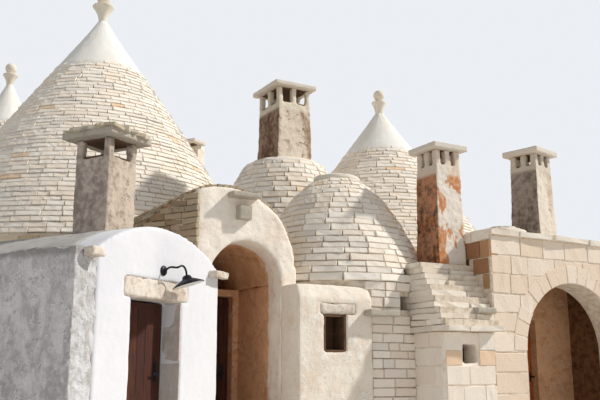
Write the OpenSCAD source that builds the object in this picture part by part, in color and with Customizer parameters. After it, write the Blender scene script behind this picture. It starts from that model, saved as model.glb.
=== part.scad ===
// Trullo house: round stone rooms under corbelled cones, with a vaulted
// porch, a whitewashed wing, a low oven annex and an arched loggia.
// Millimetres. The origin is on the ground, on the axis of the main room.
// X runs to the right along the loggia's front, Y runs to the back, Z is up.

/* [Main trullo] */
// Outer radius of the main room's round wall
main_r = 3300; // [3200:20:3340]
// Thickness of the main room's wall
main_wall = 650; // [550:10:750]
// Height of the round walls under the three large cones
drum_h = 3400; // [3300:10:3450]
// How far each cone's foot overhangs its round wall
eave_over = 100; // [60:5:120]
// Height of the main cone's neck above the ground
main_neck_z = 8760; // [8500:20:9000]
// How far the main cone's flank bulges out
main_bulge = 290; // [200:10:330]

/* [Far and rear trulli] */
// Outer radius of the far room's wall
far_r = 2400; // [2300:20:2450]
// Thickness of the far room's wall
far_wall = 550; // [450:10:600]
// Height of the far cone's neck
far_neck_z = 8950; // [8700:20:9200]
// How far the far cone's flank bulges out
far_bulge = 150; // [80:10:180]
// Direction of the far room from the main room, in degrees from +X
far_bearing = 99; // [95:1:104]
// Outer radius of the rear room's wall
rear_r = 2250; // [2150:20:2290]
// Thickness of the rear room's wall
rear_wall = 500; // [400:10:560]
// Height of the rear cone's neck
rear_neck_z = 6790; // [6600:20:7000]
// How far the rear cone's flank bulges out
rear_bulge = 120; // [60:10:180]
// Clearance between the rear room's wall and the kitchen's
rear_gap = 35; // [25:5:60]

/* [Cone caps] */
// Share of a cone's height at which the plastered cap starts
cap_share = 0.82; // [0.78:0.01:0.86]
// Radius of the cones' necks under the finials
neck_r = 90; // [70:5:110]
// Radius of a finial's saucer
saucer_r = 225; // [180:5:260]
// Height of the flare from the neck to the saucer's rim
flare_h = 190; // [140:5:240]
// Radius of a finial's ball
ball_r = 145; // [110:5:170]

// How far each band of roof courses steps out from the top of the band below
course_ledge = 30; // [10:5:40]

/* [Kitchen and centre domes] */
// Outer radius of the kitchen's round wall
kitchen_r = 1250; // [1200:10:1280]
// Thickness of the kitchen's wall
kitchen_wall = 300; // [250:10:350]
// Full height of the kitchen dome's curve above its wall
kitchen_dome_h = 1950; // [1800:10:2050]
// Height above the kitchen's wall at which its dome is cut flat
kitchen_flat_h = 1400; // [1300:10:1500]
// Direction of the kitchen from the main room, in degrees from +X
kitchen_bearing = -58.5; // [-60:0.5:-57]
// Outer radius of the centre room's round wall
centre_r = 1380; // [1320:10:1400]
// Thickness of the centre room's wall
centre_wall = 380; // [320:10:420]
// Height of the centre room's wall
centre_h = 2340; // [2300:10:2400]
// Height of the centre dome above its wall
centre_dome_h = 1800; // [1700:10:1900]
// Direction of the centre room from the kitchen, in degrees from +X
centre_bearing = -96.5; // [-98:0.5:-95]
// From the kitchen dome's foot to the centre room's axis
centre_reach = 935; // [920:5:980]

/* [Porch] */
// From the centre room's axis forward to the porch's front face
porch_out = 923; // [903:5:943]
// From the centre room's axis left to the middle of the porch's arch
arch_off = 2039; // [2019:5:2059]
// Half width of the porch's arch
arch_r = 530; // [500:5:545]
// Height at which the porch's arch springs
arch_spring = 2300; // [2200:10:2350]
// Thickness of the porch's front wall
porch_front_t = 400; // [330:10:450]
// Clear depth of the porch behind its front wall
porch_depth = 950; // [850:10:1050]
// Radius of the porch roof's outside
porch_roof_r = 1040; // [1020:5:1060]
// Thickness of the wall at the back of the porch
porch_back_t = 400; // [330:10:450]
// Thickness of the porch's right wall
porch_right_t = 250; // [230:5:260]
// How far the niche buttress stands out from the porch
pier_out = 500; // [440:10:540]
// Width of the buttress along X
pier_w = 1160; // [1080:10:1240]
// Height of the buttress's flat top
pier_h = 2250; // [2200:10:2280]

/* [Wing] */
// From the middle of the porch's arch left to the wing's front corner
wing_off = 2725; // [2700:5:2750]
// How far the wing's front corner stands before the porch's front
wing_out = 1655; // [1635:5:1675]
// Length of the wing's front
wing_len = 2573; // [2500:10:2600]
// Length of the wing from front to back
wing_depth = 3700; // [3400:50:4000]
// Turn of the wing, in degrees
wing_turn = 32; // [31:0.5:33]
// Thickness of the wing's walls
wing_wall = 330; // [300:5:360]
// Thickness of the wing's front
wing_front_t = 420; // [380:10:460]
// Height of the wing's side walls
wing_wall_h = 2340; // [2280:10:2380]
// Rise of the wing's vault above its side walls
wing_rise = 390; // [330:10:410]
// Thickness of the wing's vault
wing_vault_t = 230; // [180:10:260]
// Width of the flat ledge on top of the wing's left wall
wing_ledge = 290; // [240:10:320]

/* [Loggia building] */
// How far the loggia building's left face lies inside the centre room's wall
east_sink = 19; // [14:1:24]
// Width of the loggia building along X
east_w = 3330; // [3250:10:3500]
// How far its front stands before the porch's front
east_out = 1050; // [1000:10:1100]
// Depth of the building from front to back
east_d = 3350; // [3300:10:3400]
// Height of its front wall
east_h = 2800; // [2750:10:2900]
// Thickness of its walls
east_wall = 450; // [380:10:500]
// Half width of the loggia's arch
loggia_arch_r = 1030; // [980:10:1060]
// Width of the ring of arch stones
ring_w = 270; // [220:10:300]
// Clear depth of the loggia
loggia_depth = 750; // [700:10:850]
// From the building's left face to the middle of the loggia's arch
loggia_off = 1660; // [1630:10:1690]
// Height of the wall over the ring of arch stones
over_ring = 110; // [80:10:160]
// From the building's left face to the glazed door's right edge
glazed_off = 2050; // [2030:10:2070]
// Thickness of the roof slab
east_roof_t = 180; // [140:10:220]
// Height of the coping stones
coping_h = 160; // [120:10:200]

/* [Annex] */
// Width of the low annex along X
annex_w = 920; // [860:10:940]
// Length of the annex from front to back
annex_d = 1700; // [1600:10:1800]
// Height of the annex's walls
annex_h = 1640; // [1600:10:1700]
// Height of one course of the annex's stepped stone roof
annex_step_h = 165; // [150:5:180]
// How far each roof course steps back
annex_step_in = 100; // [80:5:110]

/* [Doors] */
// Width of the plank doors
door_w = 860; // [800:5:900]
// Height of the wing's plank door
wing_door_h = 1780; // [1700:10:1830]
// Height of the porch's plank door
porch_door_h = 2080; // [2000:10:2120]
// Height of the glazed door
glazed_door_h = 1820; // [1750:10:1860]
// Width of the glazed door
glazed_door_w = 780; // [740:5:820]
// Thickness of the doors
door_t = 45; // [38:1:55]
// Width of the glazed door's stiles and rails
stile_w = 75; // [60:1:95]

/* [Chimneys] */
// Width of the kitchen chimney along X
kitchen_chimney_w = 680; // [620:10:740]
// Top of the kitchen chimney's lantern
kitchen_chimney_z = 6280; // [6200:10:6500]
// Width of the oven chimney
oven_chimney_w = 460; // [420:10:480]
// Top of the oven chimney's lantern
oven_chimney_z = 4400; // [4300:10:4600]
// Width of the loggia chimney
east_chimney_w = 480; // [440:10:540]
// Top of the loggia chimney's lantern
east_chimney_z = 4700; // [4500:10:4900]
// Width of the wing chimney across the vault
wing_chimney_w = 520; // [480:10:600]
// Top of the wing chimney's lantern
wing_chimney_z = 3920; // [3800:10:4000]
// Width of the rear chimney
rear_chimney_w = 320; // [280:10:400]
// Top of the rear chimney's lantern
rear_chimney_z = 6830; // [6700:10:7000]
// Height of the lanterns' openings
lantern_h = 300; // [240:10:340]
// Height of the openings in the wing chimney's lantern
wing_lantern_h = 240; // [200:10:300]
// Thickness of the posts between the openings
post_w = 95; // [80:5:110]
// Thickness of the chimneys' stone slabs
slab_t = 90; // [70:5:120]
// How far the slabs overhang
slab_over = 95; // [60:5:120]
// How far the wing chimney's rough slab overhangs
wing_slab_over = 165; // [100:5:200]

/* [Floors and passages] */
// Thickness of the stone floors
floor_t = 80; // [60:5:100]
// Width of the passages between the rooms
passage_w = 760; // [700:10:800]
// Height of the passages between the rooms
passage_h = 1900; // [1800:10:1950]

/* [Hidden] */
$fn = 240;
cut = 1;              // how far a cutting shape runs past the face it cuts
far_off = 20000;      // reach of a shape that cuts off all on one side
dome_close = 0.995;   // share of its full height at which the centre dome closes
seat = 0.05;          // play under a turned piece that stands on another
ball_fn = 72;         // facets round a ball in the drawn mesh
profile_n = 9;        // straight stretches up the inside of a cone or dome
cone_bands = 8;       // bands of stone courses up a cone
dome_bands = 7;       // bands of stone courses up a dome
clear = 3;            // play between two round faces that meet
pivot_r = 14;         // radius of the doors' pivot pins
pivot_gap = 0.3;      // running gap between a pin and its door
door_gap = 18;        // gap between a door and the walls beside it
door_lift = 20;       // gap under a door
reveal = 270;         // how far the doors are set back in the walls

function polar(a, d) = [d * cos(a), d * sin(a)];

main_foot_r = main_r + eave_over;
far_foot_r = far_r + eave_over;
rear_foot_r = rear_r + eave_over;
kitchen_foot_r = kitchen_r + 40;
centre_foot_r = centre_r + 20;
far_at = polar(far_bearing, main_foot_r + far_foot_r + 20);
kitchen_at = polar(kitchen_bearing, main_foot_r + kitchen_foot_r + 20);
centre_at = kitchen_at + polar(centre_bearing, kitchen_foot_r + centre_reach);
centre_x = round(centre_at[0]);
centre_y = round(centre_at[1]);
arch_x = centre_x - arch_off;
porch_y = centre_y - porch_out;
porch_end_y = 900 - main_r;
east_x = centre_x + centre_r - east_sink;
east_y = porch_y - east_out;
east_back = east_y + east_d;
rear_y = east_back + rear_r;
rear_at = [round(kitchen_at[0] + sqrt(pow(kitchen_r + rear_r + rear_gap, 2)
    - pow(rear_y - kitchen_at[1], 2))), rear_y];
jamb_x = arch_x + arch_r;
porch_right_x = jamb_x + porch_right_t;
porch_left_x = arch_x - arch_r;
roof_x = porch_right_x - porch_roof_r - 40;
roof_z = arch_spring + 210;
porch_back_y = porch_y + porch_front_t + porch_depth;
wing_at = [arch_x - wing_off, porch_y - wing_out];
wing_half = (wing_len - wing_ledge) / 2;
wing_mid = wing_ledge + wing_half;
wing_roof_r = (pow(wing_half, 2) + pow(wing_rise, 2)) / (2 * wing_rise);
wing_roof_z = wing_wall_h + wing_rise - wing_roof_r;
wing_door_x = 900;
inner_y = east_y + east_wall + loggia_depth;
room_y = inner_y + east_wall;
annex_x = east_x - annex_w;
loggia_x = east_x + loggia_off;
loggia_spring = east_h - over_ring - ring_w - loggia_arch_r;
glazed_x = east_x + glazed_off - glazed_door_w;

function cone_r(foot, neck, bulge, t) = foot + (neck - foot) * t + bulge * 4 * t * (1 - t) * (1 - t);
function dome_r(foot, t) = foot * sqrt(max(0, 1 - pow(t, 1.1)));

module at(p, a = 0) { translate([p[0], p[1], 0]) rotate(a) children(); }

// The room inside which nothing else may stand: a round wall and its eave
module round_mass(r, foot, h) {
    translate([0, 0, -cut]) cylinder(r = r, h = h + cut);
    translate([0, 0, h]) cylinder(r = foot, h = 9000);
}

module main_mass() { round_mass(main_r, main_foot_r, drum_h); }
module kitchen_mass() { at(kitchen_at) round_mass(kitchen_r, kitchen_foot_r, drum_h); }
module centre_mass() { at(centre_at) round_mass(centre_r, centre_foot_r, centre_h); }

// The true outside of the centre room and its dome, for what stands over it
module centre_body() {
    at(centre_at) translate([0, 0, -cut]) cylinder(r = centre_r + clear, h = centre_h + cut);
    at(centre_at) rotate_extrude() polygon(concat([[0, centre_h - cut]],
        dome_outline(centre_foot_r, centre_h, centre_dome_h, dome_close, clear),
        [[0, centre_h + centre_dome_h]]));
}

module ring_wall(r, t, h) {
    difference() {
        cylinder(r = r, h = h);
        translate([0, 0, -cut]) cylinder(r = r - t, h = h + 2 * cut);
    }
}

module passage(a, from, to, w = passage_w, h = passage_h) {
    rotate(a) translate([from, -w / 2, -cut]) cube([to - from, w, h + cut]);
}

// A band of courses leans in to this depth at its upper edge, where the next
// band steps out again
function ledge(i) = i % 2 == 1 ? course_ledge : 0;

function dome_outline(foot, z0, h, tf, grow = 0) =
    [for (i = [0:2 * dome_bands - 1]) let (t = tf * ceil(i / 2) / dome_bands)
        [max(dome_r(foot, t) - ledge(i), 10) + grow, z0 + h * t]];

// Outline of a cone's stone shell, from its foot to the plastered cap
module cone_shell(foot, room, z0, z1, bulge) {
    tc = cap_share;
    hollow = cap_share - 0.1;
    outer = [for (i = [0:2 * cone_bands - 1]) let (t = tc * ceil(i / 2) / cone_bands)
        [cone_r(foot, neck_r, bulge, t) - ledge(i), z0 + (z1 - z0) * t]];
    inner = [for (i = [0:profile_n]) let (t = 1 - i / profile_n)
        [cone_r(room, 0, bulge, t), z0 + (z1 - z0) * hollow * t]];
    rotate_extrude() polygon(concat(outer, [[0, z0 + (z1 - z0) * tc]], inner));
}

module cone_cap(foot, z0, z1, bulge) {
    tc = cap_share;
    outer = [for (i = [0:3]) let (t = tc + (1 - tc) * i / 3)
        [cone_r(foot, neck_r, bulge, t), z0 + (z1 - z0) * t]];
    rotate_extrude() polygon(concat([[0, z0 + (z1 - z0) * tc]], outer, [[0, z1]]));
}

module finial(z) {
    stem_r = ball_r * 0.35;
    rim = 30;
    rotate_extrude() polygon([[0, z], [neck_r, z], [saucer_r, z + flare_h],
        [saucer_r, z + flare_h + rim], [stem_r, z + flare_h + rim + 45],
        [stem_r, z + flare_h + rim + 90], [0, z + flare_h + rim + 90]]);
    translate([0, 0, z + flare_h + rim + 60 + ball_r]) sphere(r = ball_r, $fn = ball_fn);
}

// Outline of a dome's shell; flat cuts its top at that height
module dome_shell(foot, room, z0, h, flat) {
    tf = flat / h;
    room_h = flat - 260;
    outer = dome_outline(foot, z0, h, tf);
    inner = [for (i = [0:profile_n]) let (t = 1 - i / profile_n)
        [dome_r(room, t), z0 + room_h * t]];
    rotate_extrude() polygon(concat(outer, [[0, z0 + flat]], inner));
}
module main_drum() {
    color([0.92, 0.89, 0.82]) difference() {
        ring_wall(main_r, main_wall, drum_h);
        passage(far_bearing, main_r - 2 * main_wall, main_r + cut);
        passage(kitchen_bearing, main_r - 2 * main_wall, main_r + cut);
        porch_passage();
    }
}

module main_cone() {
    color([0.92, 0.88, 0.8])
        cone_shell(main_foot_r, main_r - main_wall, drum_h, main_neck_z, main_bulge);
}

module far_drum() {
    color([0.92, 0.89, 0.82]) at(far_at) difference() {
        ring_wall(far_r, far_wall, drum_h);
        passage(far_bearing + 180, far_r - 2 * far_wall, far_r + cut);
    }
}

module far_cone() {
    color([0.92, 0.88, 0.8]) at(far_at)
        cone_shell(far_foot_r, far_r - far_wall, drum_h, far_neck_z, far_bulge);
}

module rear_drum() {
    color([0.92, 0.89, 0.82]) at(rear_at) difference() {
        ring_wall(rear_r, rear_wall, drum_h);
        passage(-90, rear_r - 2 * rear_wall, rear_r + cut);
    }
}

module rear_cone() {
    color([0.92, 0.88, 0.8]) at(rear_at)
        cone_shell(rear_foot_r, rear_r - rear_wall, drum_h, rear_neck_z, rear_bulge);
}

module trullo_caps() {
    color([0.95, 0.94, 0.91]) {
        cone_cap(main_foot_r, drum_h, main_neck_z, main_bulge);
        at(far_at) cone_cap(far_foot_r, drum_h, far_neck_z, far_bulge);
        at(rear_at) cone_cap(rear_foot_r, drum_h, rear_neck_z, rear_bulge);
    }
}

module finials() {
    color([0.88, 0.8, 0.69]) {
        finial(main_neck_z);
        at(far_at) finial(far_neck_z);
        at(rear_at) finial(rear_neck_z);
    }
}

module kitchen_drum() {
    color([0.9, 0.85, 0.76]) difference() {
        at(kitchen_at) ring_wall(kitchen_r, kitchen_wall, drum_h);
        centre_body();
        at(kitchen_at) passage(kitchen_bearing + 180, kitchen_r - 2 * kitchen_wall, kitchen_r + cut);
    }
}

module kitchen_dome() {
    color([0.92, 0.88, 0.8]) difference() {
        at(kitchen_at) dome_shell(kitchen_foot_r, kitchen_r - kitchen_wall, drum_h,
            kitchen_dome_h, kitchen_flat_h);
        at(rear_at) round_mass(rear_r, rear_foot_r, drum_h);
    }
}

module beside_porch() {
    translate([porch_right_x, -far_off, -cut]) cube([far_off, 2 * far_off, far_off]);
}

module centre_drum() {
    color([0.92, 0.87, 0.78]) intersection() {
        difference() {
            at(centre_at) ring_wall(centre_r, centre_wall, centre_h);
            at(centre_at) passage(centre_bearing + 180, centre_r - 2 * centre_wall, centre_r + cut);
            centre_window();
            niche();
        }
        beside_porch();
    }
}

module centre_window() {
    at(centre_at, -78) translate([centre_r - 2 * centre_wall, -110, 1950])
        cube([2 * centre_wall + cut, 220, 200]);
}

module centre_dome() {
    color([0.92, 0.88, 0.8]) intersection() {
        at(centre_at) dome_shell(centre_foot_r, centre_r - centre_wall, centre_h,
            centre_dome_h, centre_dome_h * dome_close);
        beside_porch();
    }
}

// Short walls that join round rooms which stand clear of each other
module room_links() {
    link_w = passage_w + 500;
    color([0.9, 0.86, 0.78]) {
        difference() {
            rotate(far_bearing) translate([main_r - 200, -link_w / 2, 0])
                cube([2 * eave_over + 420, link_w, passage_h + 300]);
            translate([0, 0, -cut]) cylinder(r = main_r, h = drum_h);
            at(far_at) translate([0, 0, -cut]) cylinder(r = far_r, h = drum_h);
            passage(far_bearing, main_r - 300, main_r + 2 * eave_over + 400);
        }
        difference() {
            rotate(kitchen_bearing) translate([main_r - 200, -link_w / 2, 0])
                cube([eave_over + 360, link_w, passage_h + 300]);
            translate([0, 0, -cut]) cylinder(r = main_r, h = drum_h);
            at(kitchen_at) translate([0, 0, -cut]) cylinder(r = kitchen_r, h = drum_h);
            passage(kitchen_bearing, main_r - 300, main_r + eave_over + 400);
        }
    }
}

porch_door_edge = 110;   // from the porch's right wall to its door
porch_door_x = jamb_x - porch_door_edge - door_w;

module porch_passage() {
    translate([porch_door_x - door_gap, porch_back_y - cut, -cut])
        cube([door_w + 2 * door_gap, -porch_back_y, porch_door_h + door_lift + floor_t + door_gap + cut]);
}

module outside_wing() {
    difference() {
        children();
        at(wing_at, wing_turn) translate([-cut, -cut, -cut]) cube([wing_len + cut, wing_depth * 3, far_off]);
    }
}

module porch_outline(r, x, z, spring_x0, spring_x1) {
    translate([x, z]) circle(r = r);
    translate([spring_x0, 0]) square([spring_x1 - spring_x0, z]);
}

module porch_section(y0, y1) {
    translate([0, y1, 0]) rotate([90, 0, 0]) linear_extrude(y1 - y0) children();
}

module porch_front() {
    color([0.93, 0.88, 0.79]) outside_wing() difference() {
        porch_section(porch_y, porch_y + porch_front_t) intersection() {
            porch_outline(porch_roof_r, roof_x, roof_z, roof_x - porch_roof_r, porch_right_x);
            translate([porch_right_x - 5000, 0]) square(5000);
        }
        porch_section(porch_y - cut, porch_y + porch_front_t + cut)
            translate([0, -cut]) porch_outline(arch_r, arch_x, arch_spring, porch_left_x, jamb_x);
    }
}

module porch_left_wall() {
    color([0.75, 0.65, 0.52]) outside_wing() difference() {
        translate([roof_x - porch_roof_r, porch_y + porch_front_t, 0])
            cube([porch_left_x - roof_x + porch_roof_r, porch_end_y - porch_y - porch_front_t,
                arch_spring]);
        main_mass();
        porch_back_space();
    }
}

module porch_back_space() {
    translate([porch_door_x - door_gap, porch_back_y, -cut])
        cube([porch_left_x - porch_door_x + door_gap + cut, far_off, arch_spring + 2 * cut]);
}

module porch_right_wall() {
    color([0.8, 0.68, 0.53]) difference() {
        translate([jamb_x, porch_y + porch_front_t, 0])
            cube([porch_right_t, porch_end_y - porch_y - porch_front_t, arch_spring]);
        main_mass();
        kitchen_mass();
        rotate(kitchen_bearing) translate([main_r - 250, -(passage_w + 500) / 2, -cut])
            cube([2000, passage_w + 500, drum_h]);
    }
}

module porch_back_wall() {
    color([0.75, 0.62, 0.48]) difference() {
        translate([porch_door_x - door_gap, porch_back_y, 0])
            cube([jamb_x - porch_door_x + door_gap, porch_back_t, arch_spring]);
        porch_passage();
        translate([porch_door_x - door_gap - cut, porch_back_y - cut, -cut])
            cube([cut, porch_back_t + 2 * cut, arch_spring]);
    }
}

module porch_vault() {
    color([0.86, 0.82, 0.74]) outside_wing() difference() {
        porch_section(porch_y + porch_front_t, porch_end_y) intersection() {
            difference() {
                translate([roof_x, roof_z]) circle(r = porch_roof_r);
                translate([arch_x, arch_spring]) circle(r = arch_r);
                translate([-9000, arch_spring - 18000]) square(18000);
            }
            translate([porch_right_x - 5000, 0]) square(5000);
        }
        main_mass();
        kitchen_mass();
    }
}

niche_x = jamb_x + 385;
niche_w = 350;
niche_z = 1350;
niche_h = 500;
lintel_x = niche_x - 60;
niche_lintel = [560, 200, 150];

module niche() {
    translate([niche_x, porch_y - pier_out - cut, niche_z])
        cube([niche_w, 330 + cut, niche_h]);
}

module niche_buttress() {
    color([0.93, 0.87, 0.78]) difference() {
        translate([jamb_x, porch_y - pier_out, 0]) rotate([90, 0, 90]) linear_extrude(pier_w)
            polygon([[0, 0], [1000, 0], [1000, pier_h], [90, pier_h], [0, pier_h - 190]]);
        translate([jamb_x - cut, porch_y, -cut])
            cube([porch_right_x - jamb_x + cut, far_off, far_off]);
        centre_mass();
        niche();
        lintel_space();
    }
}

module lintel_space() {
    translate([lintel_x, porch_y - pier_out - cut, niche_z + niche_h])
        cube(niche_lintel + [0, cut, 0]);
}

module wing_block(x, y, z, size) {
    at(wing_at, wing_turn) translate([x, y, z]) cube(size);
}

module wing_left_wall() {
    color([0.68, 0.67, 0.7]) wing_block(0, 0, 0, [wing_wall, wing_depth, wing_wall_h]);
}

module wing_right_wall() {
    color([0.9, 0.9, 0.9])
        wing_block(wing_len - wing_wall, wing_front_t, 0,
            [wing_wall, wing_depth - wing_front_t, wing_wall_h]);
}

module wing_back_wall() {
    color([0.85, 0.84, 0.83]) wing_block(wing_wall, wing_depth - wing_wall, 0,
        [wing_len - 2 * wing_wall, wing_wall, wing_wall_h]);
}

wing_head = floor_t + wing_door_h + door_lift + door_gap;
wing_open_w = door_w + 2 * door_gap;
lintel_h = 220;
lintel_end = 130;

module wing_front_left() {
    color([0.96, 0.96, 0.97]) difference() {
        wing_block(wing_wall, 0, 0, [wing_door_x - wing_wall, wing_front_t, wing_wall_h]);
        wing_lintel_space();
    }
}

module wing_front_right() {
    x0 = wing_door_x + wing_open_w;
    color([0.96, 0.96, 0.97]) difference() {
        wing_block(x0, 0, 0, [wing_len - x0, wing_front_t, wing_wall_h]);
        wing_lintel_space();
    }
}

module wing_lintel_space() {
    wing_block(wing_door_x - lintel_end, -cut, wing_head,
        [wing_open_w + 2 * lintel_end, reveal + cut, lintel_h]);
}

module wing_vault_section() {
    intersection() {
        translate([wing_mid, wing_roof_z]) circle(r = wing_roof_r);
        translate([wing_ledge, wing_wall_h]) square([2 * wing_half, 5000]);
    }
}

module wing_gable() {
    color([0.96, 0.96, 0.97]) difference() {
        at(wing_at, wing_turn) union() {
            translate([0, wing_front_t, 0]) rotate([90, 0, 0]) linear_extrude(wing_front_t)
                wing_vault_section();
            translate([wing_door_x, 0, wing_head])
                cube([wing_open_w, wing_front_t, wing_wall_h - wing_head + cut]);
        }
        wing_lintel_space();
    }
}

module stone_lintels() {
    color([0.85, 0.79, 0.7]) {
        wing_block(wing_door_x - lintel_end, 0, wing_head, [wing_open_w + 2 * lintel_end, reveal, lintel_h]);
        difference() {
            translate([lintel_x, porch_y - pier_out, niche_z + niche_h]) cube(niche_lintel);
            centre_mass();
        }
    }
}

module wing_vault() {
    color([0.69, 0.68, 0.66]) at(wing_at, wing_turn)
        translate([0, wing_depth, 0]) rotate([90, 0, 0]) linear_extrude(wing_depth - wing_front_t)
            difference() {
                wing_vault_section();
                intersection() {
                    translate([wing_mid, wing_roof_z]) circle(r = wing_roof_r - wing_vault_t);
                    translate([wing_wall, 0]) square([wing_len - 2 * wing_wall, 9000]);
                }
            }
}

// Stone spouts that carry rain water off the wing's roof
module spout_stones() {
    color([0.86, 0.83, 0.77]) {
        wing_block(90, -150, wing_wall_h - 90, [200, 150, 90]);
        wing_block(wing_len - 220, -120, wing_wall_h - 90, [280, 120, 90]);
    }
}

module arch_cut(r, x, z, y0, y1) {
    translate([0, y1, 0]) rotate([90, 0, 0]) linear_extrude(y1 - y0) {
        intersection() {
            translate([x, z]) circle(r = r);
            translate([x - r, z]) square([2 * r, r]);
        }
    }
}

module loggia_front() {
    color([0.92, 0.85, 0.74]) difference() {
        translate([east_x, east_y, 0]) cube([east_w, east_wall, east_h]);
        arch_cut(loggia_arch_r + ring_w, loggia_x, loggia_spring, east_y - cut, east_y + east_wall + cut);
        translate([loggia_x - loggia_arch_r, east_y - cut, -cut])
            cube([2 * loggia_arch_r, east_wall + 2 * cut, loggia_spring + 2 * cut]);
    }
}

module loggia_arch_ring() {
    color([0.95, 0.9, 0.8]) difference() {
        arch_cut(loggia_arch_r + ring_w, loggia_x, loggia_spring, east_y, east_y + east_wall);
        translate([loggia_x, east_y - cut, loggia_spring]) rotate([-90, 0, 0])
            cylinder(r = loggia_arch_r, h = east_wall + 2 * cut);
    }
}

module loggia_side_walls() {
    y0 = east_y + east_wall;
    color([0.9, 0.83, 0.72]) {
        difference() {
            translate([east_x, y0, 0]) cube([east_wall, east_back - east_wall - y0, east_h]);
            centre_mass();
            translate([east_x - cut, east_y + 800, -cut]) cube([east_wall + 2 * cut, 400, 1000]);
        }
        translate([east_x + east_w - east_wall, y0, 0])
            cube([east_wall, east_back - east_wall - y0, east_h]);
    }
}

glazed_head = floor_t + glazed_door_h + door_lift + door_gap;

module loggia_inner_wall() {
    color([0.72, 0.58, 0.45]) difference() {
        translate([east_x + east_wall, inner_y, 0])
            cube([east_w - 2 * east_wall, east_wall, east_h]);
        translate([glazed_x - door_gap, inner_y - cut, -cut])
            cube([glazed_door_w + 2 * door_gap, east_wall + 2 * cut, glazed_head + cut]);
    }
}

module loggia_back_wall() {
    color([0.9, 0.83, 0.72]) difference() {
        translate([east_x, east_back - east_wall, 0]) cube([east_w, east_wall + 300, east_h]);
        at(rear_at) translate([0, 0, -cut]) cylinder(r = rear_foot_r, h = east_h + 2 * cut);
        at(rear_at) passage(-90, 0, rear_r + east_wall + cut);
        kitchen_mass();
    }
    color([0.9, 0.83, 0.72]) difference() {
        at(rear_at) ring_wall(rear_foot_r, eave_over, east_h);
        translate([-far_off, east_back, -cut]) cube([2 * far_off, far_off, far_off]);
        at(rear_at) passage(-90, 0, rear_r + east_wall + cut);
    }
}

module loggia_roof() {
    color([0.8, 0.76, 0.68]) translate([east_x, east_y, east_h])
        cube([east_w, east_d, east_roof_t]);
}

module loggia_coping() {
    color([0.85, 0.8, 0.7]) translate([0, 0, east_h + east_roof_t]) {
        translate([east_x, east_y, 0]) cube([east_w, 300, coping_h]);
        translate([east_x, east_y + 300, 0]) cube([300, 900, coping_h]);
    }
}

module annex_walls() {
    color([0.93, 0.86, 0.76]) difference() {
        translate([annex_x, east_y, 0]) cube([annex_w, annex_d, annex_h]);
        translate([annex_x + 300, east_y + 320, -cut]) cube([annex_w, 900, annex_h + 2 * cut]);
        centre_mass();
        translate([annex_x + 330, east_y - cut, annex_h - 430]) cube([270, 400, 260]);
    }
}

module annex_stepped_roof() {
    stair = [for (i = [0:5]) each [[i * annex_step_in - 110, i * annex_step_h],
        [i * annex_step_in - 110, (i + 1) * annex_step_h]]];
    color([0.8, 0.77, 0.7]) difference() {
        translate([annex_x - 50, east_y, annex_h]) rotate([90, 0, 90]) linear_extrude(annex_w + 50)
            polygon(concat(stair, [[1500, 6 * annex_step_h], [1500, 0]]));
        centre_mass();
    }
}

// A chimney shaft with its lantern of small posts on top
module chimney(w, d, z0, z1, lantern = lantern_h) {
    shaft_h = z1 - lantern - z0;
    translate([-w / 2, -d / 2, z0]) cube([w, d, shaft_h]);
    for (i = [0:2], k = [0:2])
        if (i != 1 || k != 1)
            translate([(i - 1) * (w - post_w) / 2 - post_w / 2,
                (k - 1) * (d - post_w) / 2 - post_w / 2, z0 + shaft_h - cut])
                cube([post_w, post_w, lantern + cut]);
}

module chimney_slab(w, d, z, over = slab_over) {
    translate([-w / 2 - over, -d / 2 - over, z]) cube([w + 2 * over, d + 2 * over, slab_t]);
}

oven_at = [east_x - 60 - oven_chimney_w / 2, east_y + 510 + oven_chimney_w / 2];
east_chimney_at = [loggia_x + 310, east_y + 1000];
mound_at = [loggia_x - 330, east_y + 1050];
wing_chimney_at = [1520, 1020];
wing_chimney_d = 540;
rear_chimney_turn = 33;
rear_chimney_out = 500;
rear_chimney_at = polar(rear_chimney_turn, main_r + rear_chimney_out);
oven_foot_z = annex_h + 6 * annex_step_h;

module kitchen_chimney() {
    color([0.72, 0.65, 0.56]) at(kitchen_at)
        chimney(kitchen_chimney_w, kitchen_chimney_w + 100, drum_h + kitchen_flat_h, kitchen_chimney_z);
}

module oven_chimney() {
    color([0.75, 0.6, 0.48]) at(oven_at)
        chimney(oven_chimney_w, oven_chimney_w, oven_foot_z, oven_chimney_z);
}

module loggia_chimney() {
    color([0.6, 0.56, 0.5]) at(east_chimney_at, 13)
        chimney(east_chimney_w, east_chimney_w, east_h + east_roof_t + seat, east_chimney_z);
}

module wing_chimney() {
    color([0.68, 0.64, 0.58]) at(wing_at, wing_turn) difference() {
        at(wing_chimney_at)
            chimney(wing_chimney_w, wing_chimney_d, wing_wall_h, wing_chimney_z, wing_lantern_h);
        translate([wing_mid, -cut, wing_roof_z]) rotate([-90, 0, 0])
            cylinder(r = wing_roof_r, h = wing_depth);
    }
}

module rear_chimney() {
    color([0.7, 0.66, 0.6]) difference() {
        union() {
            at(rear_chimney_at, rear_chimney_turn)
                chimney(rear_chimney_w, rear_chimney_w, 0, rear_chimney_z);
            rotate(rear_chimney_turn) translate([main_r - 200, -rear_chimney_w / 2 - 100, 0])
                cube([rear_chimney_out + 200, rear_chimney_w + 200, drum_h - 200]);
        }
        main_mass();
    }
}

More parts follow.
